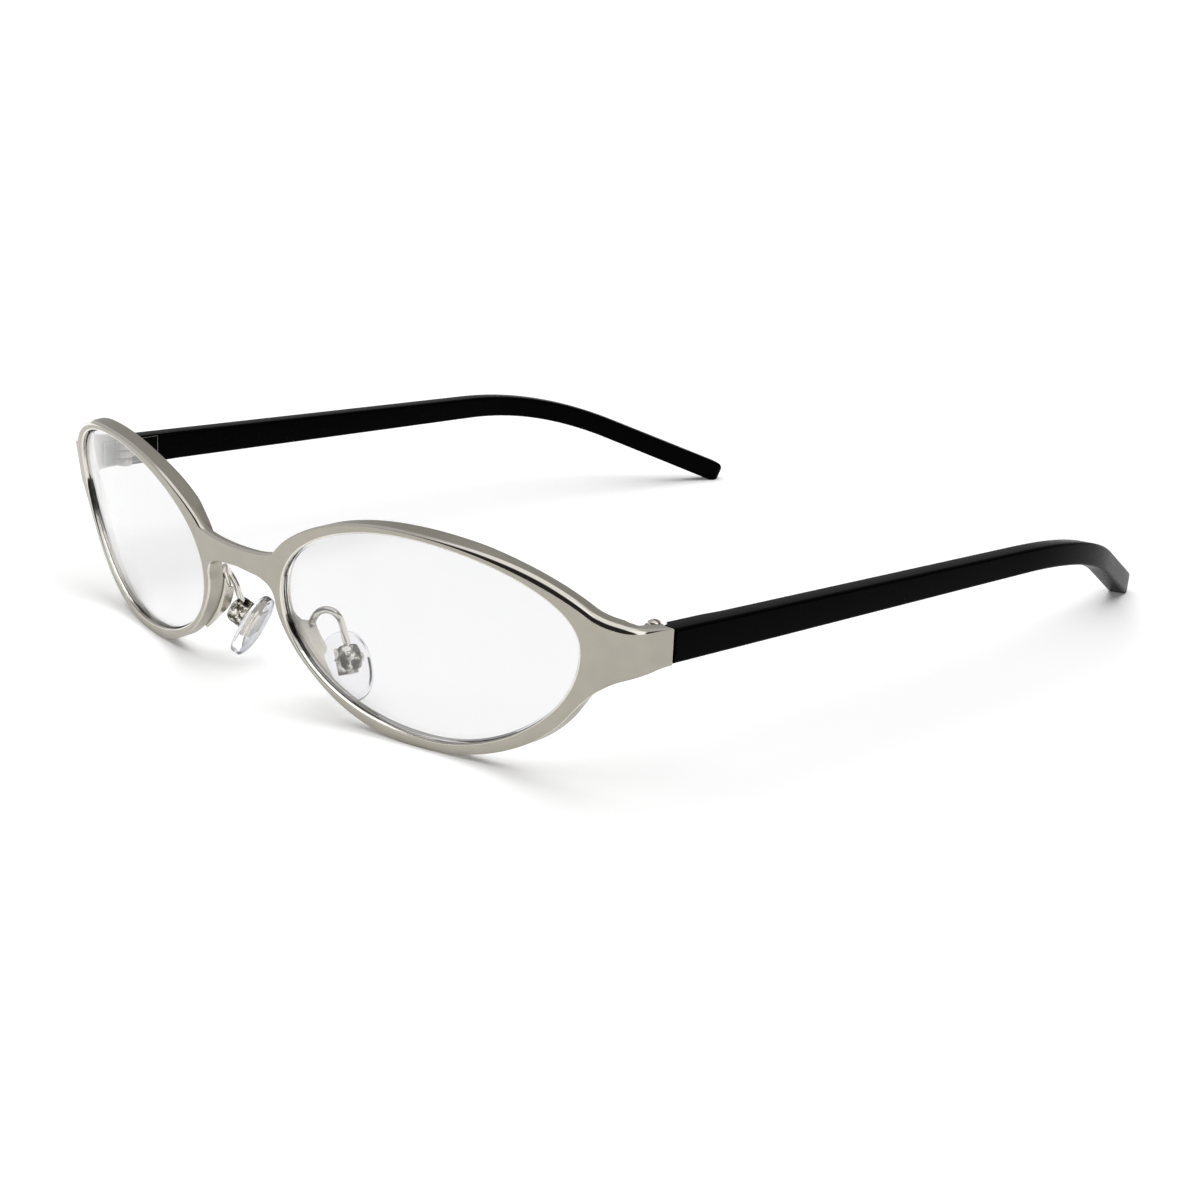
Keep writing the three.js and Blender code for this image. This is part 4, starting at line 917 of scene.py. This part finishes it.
# Rows from the crown on the nose's side over the thick edge and its rounded bead to the flat back:
# a scale of the outline, and a depth as a share of the crown's height or of the back's
CROWN_ROWS = ((0, -0.8), (0.4, -0.79), (0.65, -0.76), (0.82, -0.71), (0.92, -0.64), (0.965, -0.56), (0.99, -0.46),
              (1, -0.34))
BACK_ROWS = ((1, 0.6), (0.99, 1.0), (0.965, 1.35), (0.93, 1.5), (0.89, 1.4), (0.86, 1.1), (0.84, 0.9), (0.81, 0.8),
             (0.5, 0.8), (0, 0.8))
pad_rows = [(scale, share * pad_rise) for scale, share in CROWN_ROWS]
pad_rows += [(scale, share * pad_back_face) for scale, share in BACK_ROWS]


def pad_point(row, point):
    """A point of a pad row: a full rounded oval about the pad's middle."""
    scale, depth = pad_rows[row]
    turned = 2 * math.pi * point / PAD_SIDES
    across, up = (math.copysign(abs(part) ** PAD_FULLNESS, part) for part in (math.cos(turned), math.sin(turned)))
    return scale * PAD_WIDTH / 2 * across, depth, scale * PAD_LENGTH / 2 * up


bm = bmesh.new()
add_skin(bm, PAD_SIDES, len(pad_rows), pad_point)
bmesh.ops.remove_doubles(bm, verts=bm.verts, dist=MERGE)
bmesh.ops.recalc_face_normals(bm, faces=bm.faces)
bm.transform(pad_place)

# Moulded silicone: clear, a little blue-grey through its edges, with a faint moulded bloom.
BLOOM_MM = 1.5
clear_silicone, tree, _, tone, shader = mottled_finish(
    "moulded_clear_silicone", BLOOM_MM, 3.0, (0.02, 0.14), ("#F5F5F9", "#FCFCFD"),
    {"IOR": 1.41, "Transmission Weight": 1.0})
edge_on = add_node(tree, "ShaderNodeLayerWeight", {"Blend": 0.5})
in_edge = add_node(tree, "ShaderNodeMapRange", {
    "Value": edge_on.outputs["Facing"], "From Min": 0.42, "From Max": 0.75}, interpolation_type="SMOOTHSTEP")
edge_tone = add_node(tree, "ShaderNodeMix", {
    "Factor": in_edge.outputs["Result"], 6: tone.outputs[2], 7: linear("#868A96")}, data_type="RGBA")
tree.links.new(edge_tone.outputs[2], shader.inputs["Base Color"])

for name, side in SIDES:
    pad = make_piece(f"{name}_silicone_pad", bm, side, clear_silicone)
    pad.visible_shadow = False
    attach(pad, f"{name}_pad")
    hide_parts(f"{name}_nose_pad")
bm.free()

# ---------------------------------------------------------------------------------------------
# Pad inserts: a small stamped plate of nickel silver that each pad is moulded round.
# Its lug stands out of the pad's back into the box, and is drilled for the screw.
# ---------------------------------------------------------------------------------------------
BOX_ABOVE_PAD_CENTRE = 0.85
INSERT_WIDTH, INSERT_LENGTH, INSERT_THICKNESS = 3.0, 4.0, 0.5
INSERT_EDGE, INSERT_BELOW, LUG_EDGE, LUG_SUNK = 0.15, 0.04, 0.2, 0.1
LUG_REACH, LUG_RADIUS, LUG_THICKNESS = 0.6, 0.8, 0.9
screw_out = pad_back_face + LUG_RADIUS + TURN_CLEARANCE + LUG_REACH
screw_up = BOX_ABOVE_PAD_CENTRE
insert_low = pad_back_face - INSERT_THICKNESS
bm = bmesh.new()
add_block(bm, (-INSERT_WIDTH / 2, insert_low, screw_up - INSERT_LENGTH / 2),
          (INSERT_WIDTH / 2, pad_back_face - INSERT_BELOW, screw_up + INSERT_LENGTH / 2), INSERT_EDGE)
add_block(bm, (-LUG_THICKNESS / 2, insert_low + LUG_SUNK, screw_up - LUG_RADIUS),
          (LUG_THICKNESS / 2, screw_out + LUG_RADIUS, screw_up + LUG_RADIUS), LUG_EDGE)
bm.transform(pad_place)
for name, side in SIDES:
    insert = make_piece(f"{name}_pad_insert", bm, side, polished_metal)
    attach(insert, f"{name}_pad")
    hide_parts(f"{name}_pad_core")
bm.free()

# ---------------------------------------------------------------------------------------------
# Pad boxes: small channels of folded nickel-silver sheet that hold the lugs of the pads.
# Each is brazed to the end of its arm's wire, domed and lumpy from the heat, and notched below.
# ---------------------------------------------------------------------------------------------
BOX_WIDTH, BOX_LENGTH, BOX_WALL = 3.4, 3.7, 0.9
BOX_CORNER, BOX_LEAST_CORNER, BOX_LIP, BOX_DOME = 0.95, 0.475, 0.1, 2.2
NOTCH_WIDTH, NOTCH_HEIGHT, NOTCH_DEPTH = 0.7, 1.3, 0.4
BOX_LEVELS = (-1, -0.96, -0.88, -0.75, -0.55, -0.3, 0, 0.3, 0.55, 0.75, 0.88, 0.96, 1)
box_outer = screw_out + LUG_RADIUS + TURN_CLEARANCE + BOX_WALL
slot_half = BOX_WIDTH / 2 - BOX_WALL
mouth, slot_end = screw_out - LUG_RADIUS, box_outer - BOX_WALL
box_low = screw_up - BOX_LENGTH / 2


def box_section(dome):
    """The channel's outline at a height, its walls swelling from a thin lip to their full thickness."""
    half = slot_half + mix(BOX_LIP, BOX_WALL, dome)
    outer = slot_end + mix(BOX_LIP, BOX_WALL, dome)
    corner = mix(BOX_LEAST_CORNER, BOX_CORNER, dome)
    outline = [(-slot_half, slot_end), (-slot_half, mouth), (-half, mouth)]
    for side, turns in ((-1, range(180, 89, -15)), (1, range(90, -1, -15))):
        for turned in turns:
            outline.append((side * (half - corner) + corner * math.cos(math.radians(turned)),
                            outer - corner + corner * math.sin(math.radians(turned))))
    return outline + [(half, mouth), (slot_half, mouth), (slot_half, slot_end)]


def box_place(row, point):
    """A point of the channel's outline at one of its levels."""
    level = BOX_LEVELS[row]
    section = box_section((1 - abs(level) ** BOX_DOME) ** (1 / BOX_DOME))
    return *section[point], screw_up + level * BOX_LENGTH / 2


bm = bmesh.new()
for end_edges in add_skin(bm, len(box_section(1)), len(BOX_LEVELS), box_place):
    bmesh.ops.contextual_create(bm, geom=end_edges)
bmesh.ops.recalc_face_normals(bm, faces=bm.faces)
for side in (-1, 1):
    cut(bm, (side * NOTCH_WIDTH / 2, 0, 0), (1, 0, 0))
cut(bm, (0, 0, box_low + NOTCH_HEIGHT), (0, 0, 1))
notch = [f for f in bm.faces if abs(f.calc_center_median().x) < NOTCH_WIDTH / 2
         and f.calc_center_median().z < box_low + NOTCH_HEIGHT and f.normal.y > 0.1]
made = bmesh.ops.extrude_face_region(bm, geom=notch)["geom"]
bmesh.ops.delete(bm, geom=[f for f in notch if f.is_valid], context="FACES_ONLY")
bmesh.ops.translate(bm, verts=verts_in(made), vec=(0, -NOTCH_DEPTH, 0))
bmesh.ops.remove_doubles(bm, verts=bm.verts, dist=FINE_MERGE)
bmesh.ops.recalc_face_normals(bm, faces=bm.faces)
bm.transform(pad_place)

# The box's sheet is tumbled bright after brazing and left with soft dents. Its colour is painted dark in the
# dents and pale on the tops between them: painted shade and painted highlights that break up what it mirrors.
DENT_MM = 1.0
tumbled_metal, tree, dents, tone, shader = mottled_finish(
    "tumbled_nickel_silver_painted_shade_and_glints", DENT_MM, 2.0, (0.08, 0.2), ("#565044", "#F0ECE4"), {"Metallic": 1.0})
# Painted shade in the dents and painted highlights on the tops, from the spots that also make the bump
hollow = add_node(tree, "ShaderNodeMapRange", {
    "Value": dents.outputs["Fac"], "From Min": 0.4, "From Max": 0.62}, interpolation_type="SMOOTHSTEP")
bump = add_node(tree, "ShaderNodeBump", {"Height": dents.outputs["Fac"], "Strength": 0.9, "Distance": 0.0006})
tree.links.new(hollow.outputs["Result"], tone.inputs["Factor"])
tree.links.new(bump.outputs["Normal"], shader.inputs["Normal"])

for name, side in SIDES:
    box = make_piece(f"{name}_folded_pad_box", bm, side, tumbled_metal)
    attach(box, "front")
    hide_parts(f"{name}_pad_box")
bm.free()

# ---------------------------------------------------------------------------------------------
# Pad screws: turned steel with a slotted head, the smallest screws of the spectacles.
# Each goes through its box and the insert's lug, and the pad rocks on it.
# ---------------------------------------------------------------------------------------------
PAD_SCREW_RADIUS, PAD_SCREW_HEAD_RADIUS, PAD_SCREW_HEAD_HEIGHT = 0.35, 0.65, 0.4
PAD_SCREW_SIDES, PAD_SCREW_SLOT, SLOT_FLOOR = 32, 0.2, 0.2
POINT_RADIUS, POINT_LENGTH, POINT_ROUND, POINT_STARTS = 0.12, 0.4, 0.02, 0.05
PAD_HEAD_WALL, PAD_HEAD_BEVEL = 0.25, 0.15
screw_tip, head_low = -BOX_WIDTH / 2, BOX_WIDTH / 2 + SEAT_GAP
bm = bmesh.new()
add_turned(bm, [(0, screw_tip - POINT_LENGTH), (POINT_RADIUS, screw_tip - POINT_LENGTH + POINT_ROUND),
                (PAD_SCREW_RADIUS, screw_tip - POINT_STARTS), (PAD_SCREW_RADIUS, head_low),
                (PAD_SCREW_HEAD_RADIUS, head_low), (PAD_SCREW_HEAD_RADIUS, head_low + PAD_HEAD_WALL),
                (PAD_SCREW_HEAD_RADIUS - PAD_HEAD_BEVEL, head_low + PAD_SCREW_HEAD_HEIGHT),
                (0, head_low + PAD_SCREW_HEAD_HEIGHT)], PAD_SCREW_SIDES)
cut_slot(bm, PAD_SCREW_SLOT, head_low + SLOT_FLOOR)
bm.transform(pad_place @ Matrix.Translation((0, screw_out, screw_up)) @ Matrix.Rotation(-math.pi / 2, 4, "Y"))
for name, side in SIDES:
    screw = make_piece(f"{name}_slotted_pad_screw", bm, side, polished_metal)
    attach(screw, "front")
    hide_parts(f"{name}_pad_screw")
bm.free()

# ---------------------------------------------------------------------------------------------
# Pad arms: a leaf of rolled sheet, brazed to the rim's back, with drawn wire from its upper end.
# The wire loops up and over to the pad's box, so that the optician can bend it to the nose.
# ---------------------------------------------------------------------------------------------
ARM_WIRE_RADIUS, LEAF_PLATE, LEAF_EDGE = 0.52, 0.9, 0.28
LEAF_IN_RIM, LEAF_SUNK, LEAF_SPLAY = 0.55, 0.1, math.radians(24)
# The leaf's reach behind the rim at turns round the eye, in degrees and millimetres
LEAF_REACH = ((184, 0.2), (188, 0.55), (191, 1.1), (193, 2.5), (195, 2.7), (207, 2.65), (209, 2.2), (211, 1.45),
              (216, 1.0), (224, 0.3))
LEAF_STEPS, LEAF_ROWS = 48, 6
WIRE_SIDES, WIRE_SPACING, WIRE_IN_BOX, CURVE_STEPS = 20, 0.2, 0.3, 24
# The wire's start on the leaf, as a turn and a reach, and its loop in the flat front's frame
WIRE_ON_LEAF = ((196, 2.2), (193.5, 2.3))
WIRE_LOOP = ((11.35, 5.2, 13.9), (12.0, 5.65, 14.5), (12.75, 6.25, 14.65), (13.5, 6.85, 14.2), (13.7, 7.45, 13.1),
             (13.45, 7.95, 11.7), (13.2, 8.25, 10.2))


def leaf_at(around, reach):
    """A place on the leaf's middle surface: a turn round the eye and a reach behind the rim."""
    root = eye_at(math.radians(around) - 2 * math.pi, LEAF_IN_RIM)
    return on_wrap(root.x + reach * math.sin(LEAF_SPLAY), root.y,
                   FRONT_DEPTH - LEAF_SUNK + reach * math.cos(LEAF_SPLAY))


bm = bmesh.new()
bmesh.ops.create_grid(bm, x_segments=LEAF_STEPS, y_segments=LEAF_ROWS, size=1)
for v in bm.verts:
    around = mix(LEAF_REACH[0][0], LEAF_REACH[-1][0], (v.co.x + 1) / 2)
    reach = float(np.interp(around, *zip(*LEAF_REACH)))
    v.co = leaf_at(around, reach * (v.co.y + 1) / 2)
bmesh.ops.recalc_face_normals(bm, faces=bm.faces)
bmesh.ops.solidify(bm, geom=bm.faces[:], thickness=LEAF_PLATE)
bmesh.ops.recalc_face_normals(bm, faces=bm.faces)
rim_edges = [e for e in bm.edges if e.calc_face_angle(0) > math.radians(50)]
bmesh.ops.bevel(bm, geom=rim_edges, offset=LEAF_EDGE, segments=3, profile=0.5, affect="EDGES", material=-1,
                clamp_overlap=True)
leaf_faces = set(bm.faces)
box_top = pad_frame @ Vector((0, (screw_out + box_outer) / 2, screw_up + BOX_LENGTH / 2 - WIRE_IN_BOX))
knots = [leaf_at(*place) for place in WIRE_ON_LEAF] + [Vector(place) for place in WIRE_LOOP] + [box_top]
# The wire runs smoothly through its knots, each crossed along the line between its neighbours
route = []
for i in range(len(knots) - 1):
    before, after = knots[max(i - 1, 0)], knots[min(i + 2, len(knots) - 1)]
    a, b = knots[i], knots[i + 1]
    route += geometry.interpolate_bezier(a, a + (b - before) / 6, b - (after - a) / 6, b, CURVE_STEPS)[:-1]
route = evenly(route + [knots[-1]], WIRE_SPACING)
across, wire_stations = Vector((1, 0, 0)), []
for k, at in enumerate(route):
    heading = (route[min(k + 1, len(route) - 1)] - route[max(k - 1, 0)]).normalized()
    across = (across - heading * across.dot(heading)).normalized()
    wire_stations.append((at, across, heading.cross(across)))


def wire_place(row, point):
    """A point round the wire at a station of its route."""
    at, across, up = wire_stations[row]
    turned = 2 * math.pi * point / WIRE_SIDES
    return at + (across * math.cos(turned) + up * math.sin(turned)) * ARM_WIRE_RADIUS


for end_edges in add_skin(bm, WIRE_SIDES, len(wire_stations), wire_place):
    bmesh.ops.contextual_create(bm, geom=end_edges)
bmesh.ops.recalc_face_normals(bm, faces=bm.faces)
for f in set(bm.faces) - leaf_faces:
    f.material_index = 1
bm.transform(front_place)

# The leaf's sheet is the front's nickel silver with a closer grain. Its tone is painted paler than the
# blasted front's: painted light that brightens the leaf.
ROLL_MM = 0.5
pickled_metal, *_ = mottled_finish(
    "nickel_silver_painted_paler", ROLL_MM, 3.0, (0.2, 0.3), ("#C8C3B7", "#D3CEC3"), {"Metallic": 1.0})

for name, side in SIDES:
    arm = make_piece(f"{name}_wire_pad_arm", bm, side, pickled_metal, polished_metal)
    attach(arm, "front")
    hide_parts(f"{name}_pad_arm")
bm.free()

# ---------------------------------------------------------------------------------------------
# Studio: a white table that runs on into a white background, and a wide soft light overhead.
# The camera stands 45 degrees to the wearer's left and 17 degrees up, as in the photo.
# ---------------------------------------------------------------------------------------------
TABLE_HALF, TABLE_GLOW = 4.0, 0.12
bm = bmesh.new()
bmesh.ops.create_grid(bm, x_segments=1, y_segments=1, size=TABLE_HALF)
mesh = bpy.data.meshes.new("white_table")
bm.to_mesh(mesh)
bm.free()
table = bpy.data.objects.new("white_table", mesh)
bpy.context.scene.collection.objects.link(table)

# Matt white paint: flat and even. A little light of its own, for the eye and for mirrors only, brings
# the lit paint up to white.
white_paint, tree, output = new_material("matt_white_table")
path = add_node(tree, "ShaderNodeLightPath").outputs
seen = add_node(tree, "ShaderNodeMath", {0: path["Is Camera Ray"], 1: path["Is Glossy Ray"]}, operation="ADD")
seen = add_node(tree, "ShaderNodeMath", {0: seen.outputs[0], 1: path["Is Transmission Ray"]},
                operation="ADD", use_clamp=True)
glow = add_node(tree, "ShaderNodeMath", {0: seen.outputs[0], 1: TABLE_GLOW}, operation="MULTIPLY")
shader = add_node(tree, "ShaderNodeBsdfPrincipled", {
    "Base Color": linear("#FCFCFC"), "Roughness": 0.9, "Specular IOR Level": 0.0,
    "Emission Color": (1, 1, 1, 1), "Emission Strength": glow.outputs[0]})
tree.links.new(shader.outputs["BSDF"], output.inputs["Surface"])
mesh.materials.append(white_paint)
table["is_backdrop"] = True

# What the metal mirrors: a white light overhead, pale walls with a bright panel on the right, and
# two dark places, in front and at the back on the right: a direction, where it begins and is full
DARK_PLACES = (((0.3, -0.95, 0.0), 0.4, 0.6), ((0.72, 0.66, 0.24), 0.9, 0.96))
PANEL, PANEL_BEGINS, PANEL_FULL = (0.83, -0.05, 0.56), 0.72, 0.88
OVERHEAD_FULL, OVERHEAD_ENDS = 0.93, 0.84
DARK_LEVEL, WALL_LEVEL, PANEL_LEVEL, ROOM_LIGHT = 0.02, 0.5, 1.3, 0.15
world = bpy.data.worlds.new("white_studio")
bpy.context.scene.world = world
world.use_nodes = True
tree = world.node_tree
tree.nodes.clear()
output = add_node(tree, "ShaderNodeOutputWorld")
path = add_node(tree, "ShaderNodeLightPath").outputs
way = add_node(tree, "ShaderNodeTexCoord").outputs["Generated"]
in_dark = 0.0
for towards, begins, full in DARK_PLACES:
    facing = add_node(tree, "ShaderNodeVectorMath", {0: way, 1: towards}, operation="DOT_PRODUCT")
    near = add_node(tree, "ShaderNodeMapRange", {
        "Value": facing.outputs["Value"], "From Min": begins, "From Max": full}, interpolation_type="SMOOTHSTEP")
    in_dark = add_node(tree, "ShaderNodeMath", {
        0: in_dark, 1: near.outputs["Result"]}, operation="MAXIMUM").outputs[0]
up = add_node(tree, "ShaderNodeSeparateXYZ", {"Vector": way})
below_light = add_node(tree, "ShaderNodeMapRange", {
    "Value": up.outputs["Z"], "From Min": OVERHEAD_FULL, "From Max": OVERHEAD_ENDS},
    interpolation_type="SMOOTHSTEP")
mirrored = add_node(tree, "ShaderNodeMath", {
    0: below_light.outputs["Result"], 1: path["Is Glossy Ray"]}, operation="MULTIPLY")
dark_mirrored = add_node(tree, "ShaderNodeMath", {0: in_dark, 1: mirrored.outputs[0]}, operation="MULTIPLY")
light_level = add_node(tree, "ShaderNodeMapRange", {
    "Value": path["Is Diffuse Ray"], "To Min": 1.0, "To Max": ROOM_LIGHT})
facing = add_node(tree, "ShaderNodeVectorMath", {0: way, 1: PANEL}, operation="DOT_PRODUCT")
wall_level = add_node(tree, "ShaderNodeMapRange", {
    "Value": facing.outputs["Value"], "From Min": PANEL_BEGINS, "From Max": PANEL_FULL,
    "To Min": WALL_LEVEL, "To Max": PANEL_LEVEL}, interpolation_type="SMOOTHSTEP")
walls = add_node(tree, "ShaderNodeMapRange", {
    "Value": mirrored.outputs[0], "To Min": light_level.outputs["Result"], "To Max": wall_level.outputs["Result"]})
strength = add_node(tree, "ShaderNodeMapRange", {
    "Value": dark_mirrored.outputs[0], "To Min": walls.outputs["Result"], "To Max": DARK_LEVEL})
background = add_node(tree, "ShaderNodeBackground", {
    "Color": (1, 1, 1, 1), "Strength": strength.outputs["Result"]})
tree.links.new(background.outputs["Background"], output.inputs["Surface"])

LAMP_STRENGTH, LAMP_WIDTH = 2.7, math.radians(85)
lamp = bpy.data.lights.new("soft_overhead_light", "SUN")
lamp.energy, lamp.angle = LAMP_STRENGTH, LAMP_WIDTH
light = bpy.data.objects.new("soft_overhead_light", lamp)
light.visible_glossy = False
bpy.context.scene.collection.objects.link(light)

PHOTO_PIXELS, PHOTO_FOCAL_PIXELS, SENSOR_MM = 1200, 2258.37, 36.0
CAMERA_AT = (0.25458, -0.25882, 0.11111)
CAMERA_AROUND, CAMERA_DOWN, CAMERA_ROLL = math.radians(44.95), math.radians(17.04), math.radians(2.64)
optics = bpy.data.cameras.new("photo_camera")
optics.sensor_width = SENSOR_MM
optics.lens = SENSOR_MM * PHOTO_FOCAL_PIXELS / PHOTO_PIXELS
optics.clip_start, optics.clip_end = 0.01, 20.0
camera = bpy.data.objects.new("photo_camera", optics)
camera.matrix_world = (
    Matrix.Translation(CAMERA_AT) @ Matrix.Rotation(CAMERA_AROUND, 4, "Z")
    @ Matrix.Rotation(math.pi / 2 - CAMERA_DOWN, 4, "X") @ Matrix.Rotation(CAMERA_ROLL, 4, "Z"))
bpy.context.scene.collection.objects.link(camera)
bpy.context.scene.camera = camera
bpy.context.scene.view_settings.view_transform = "Standard"

low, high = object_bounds()
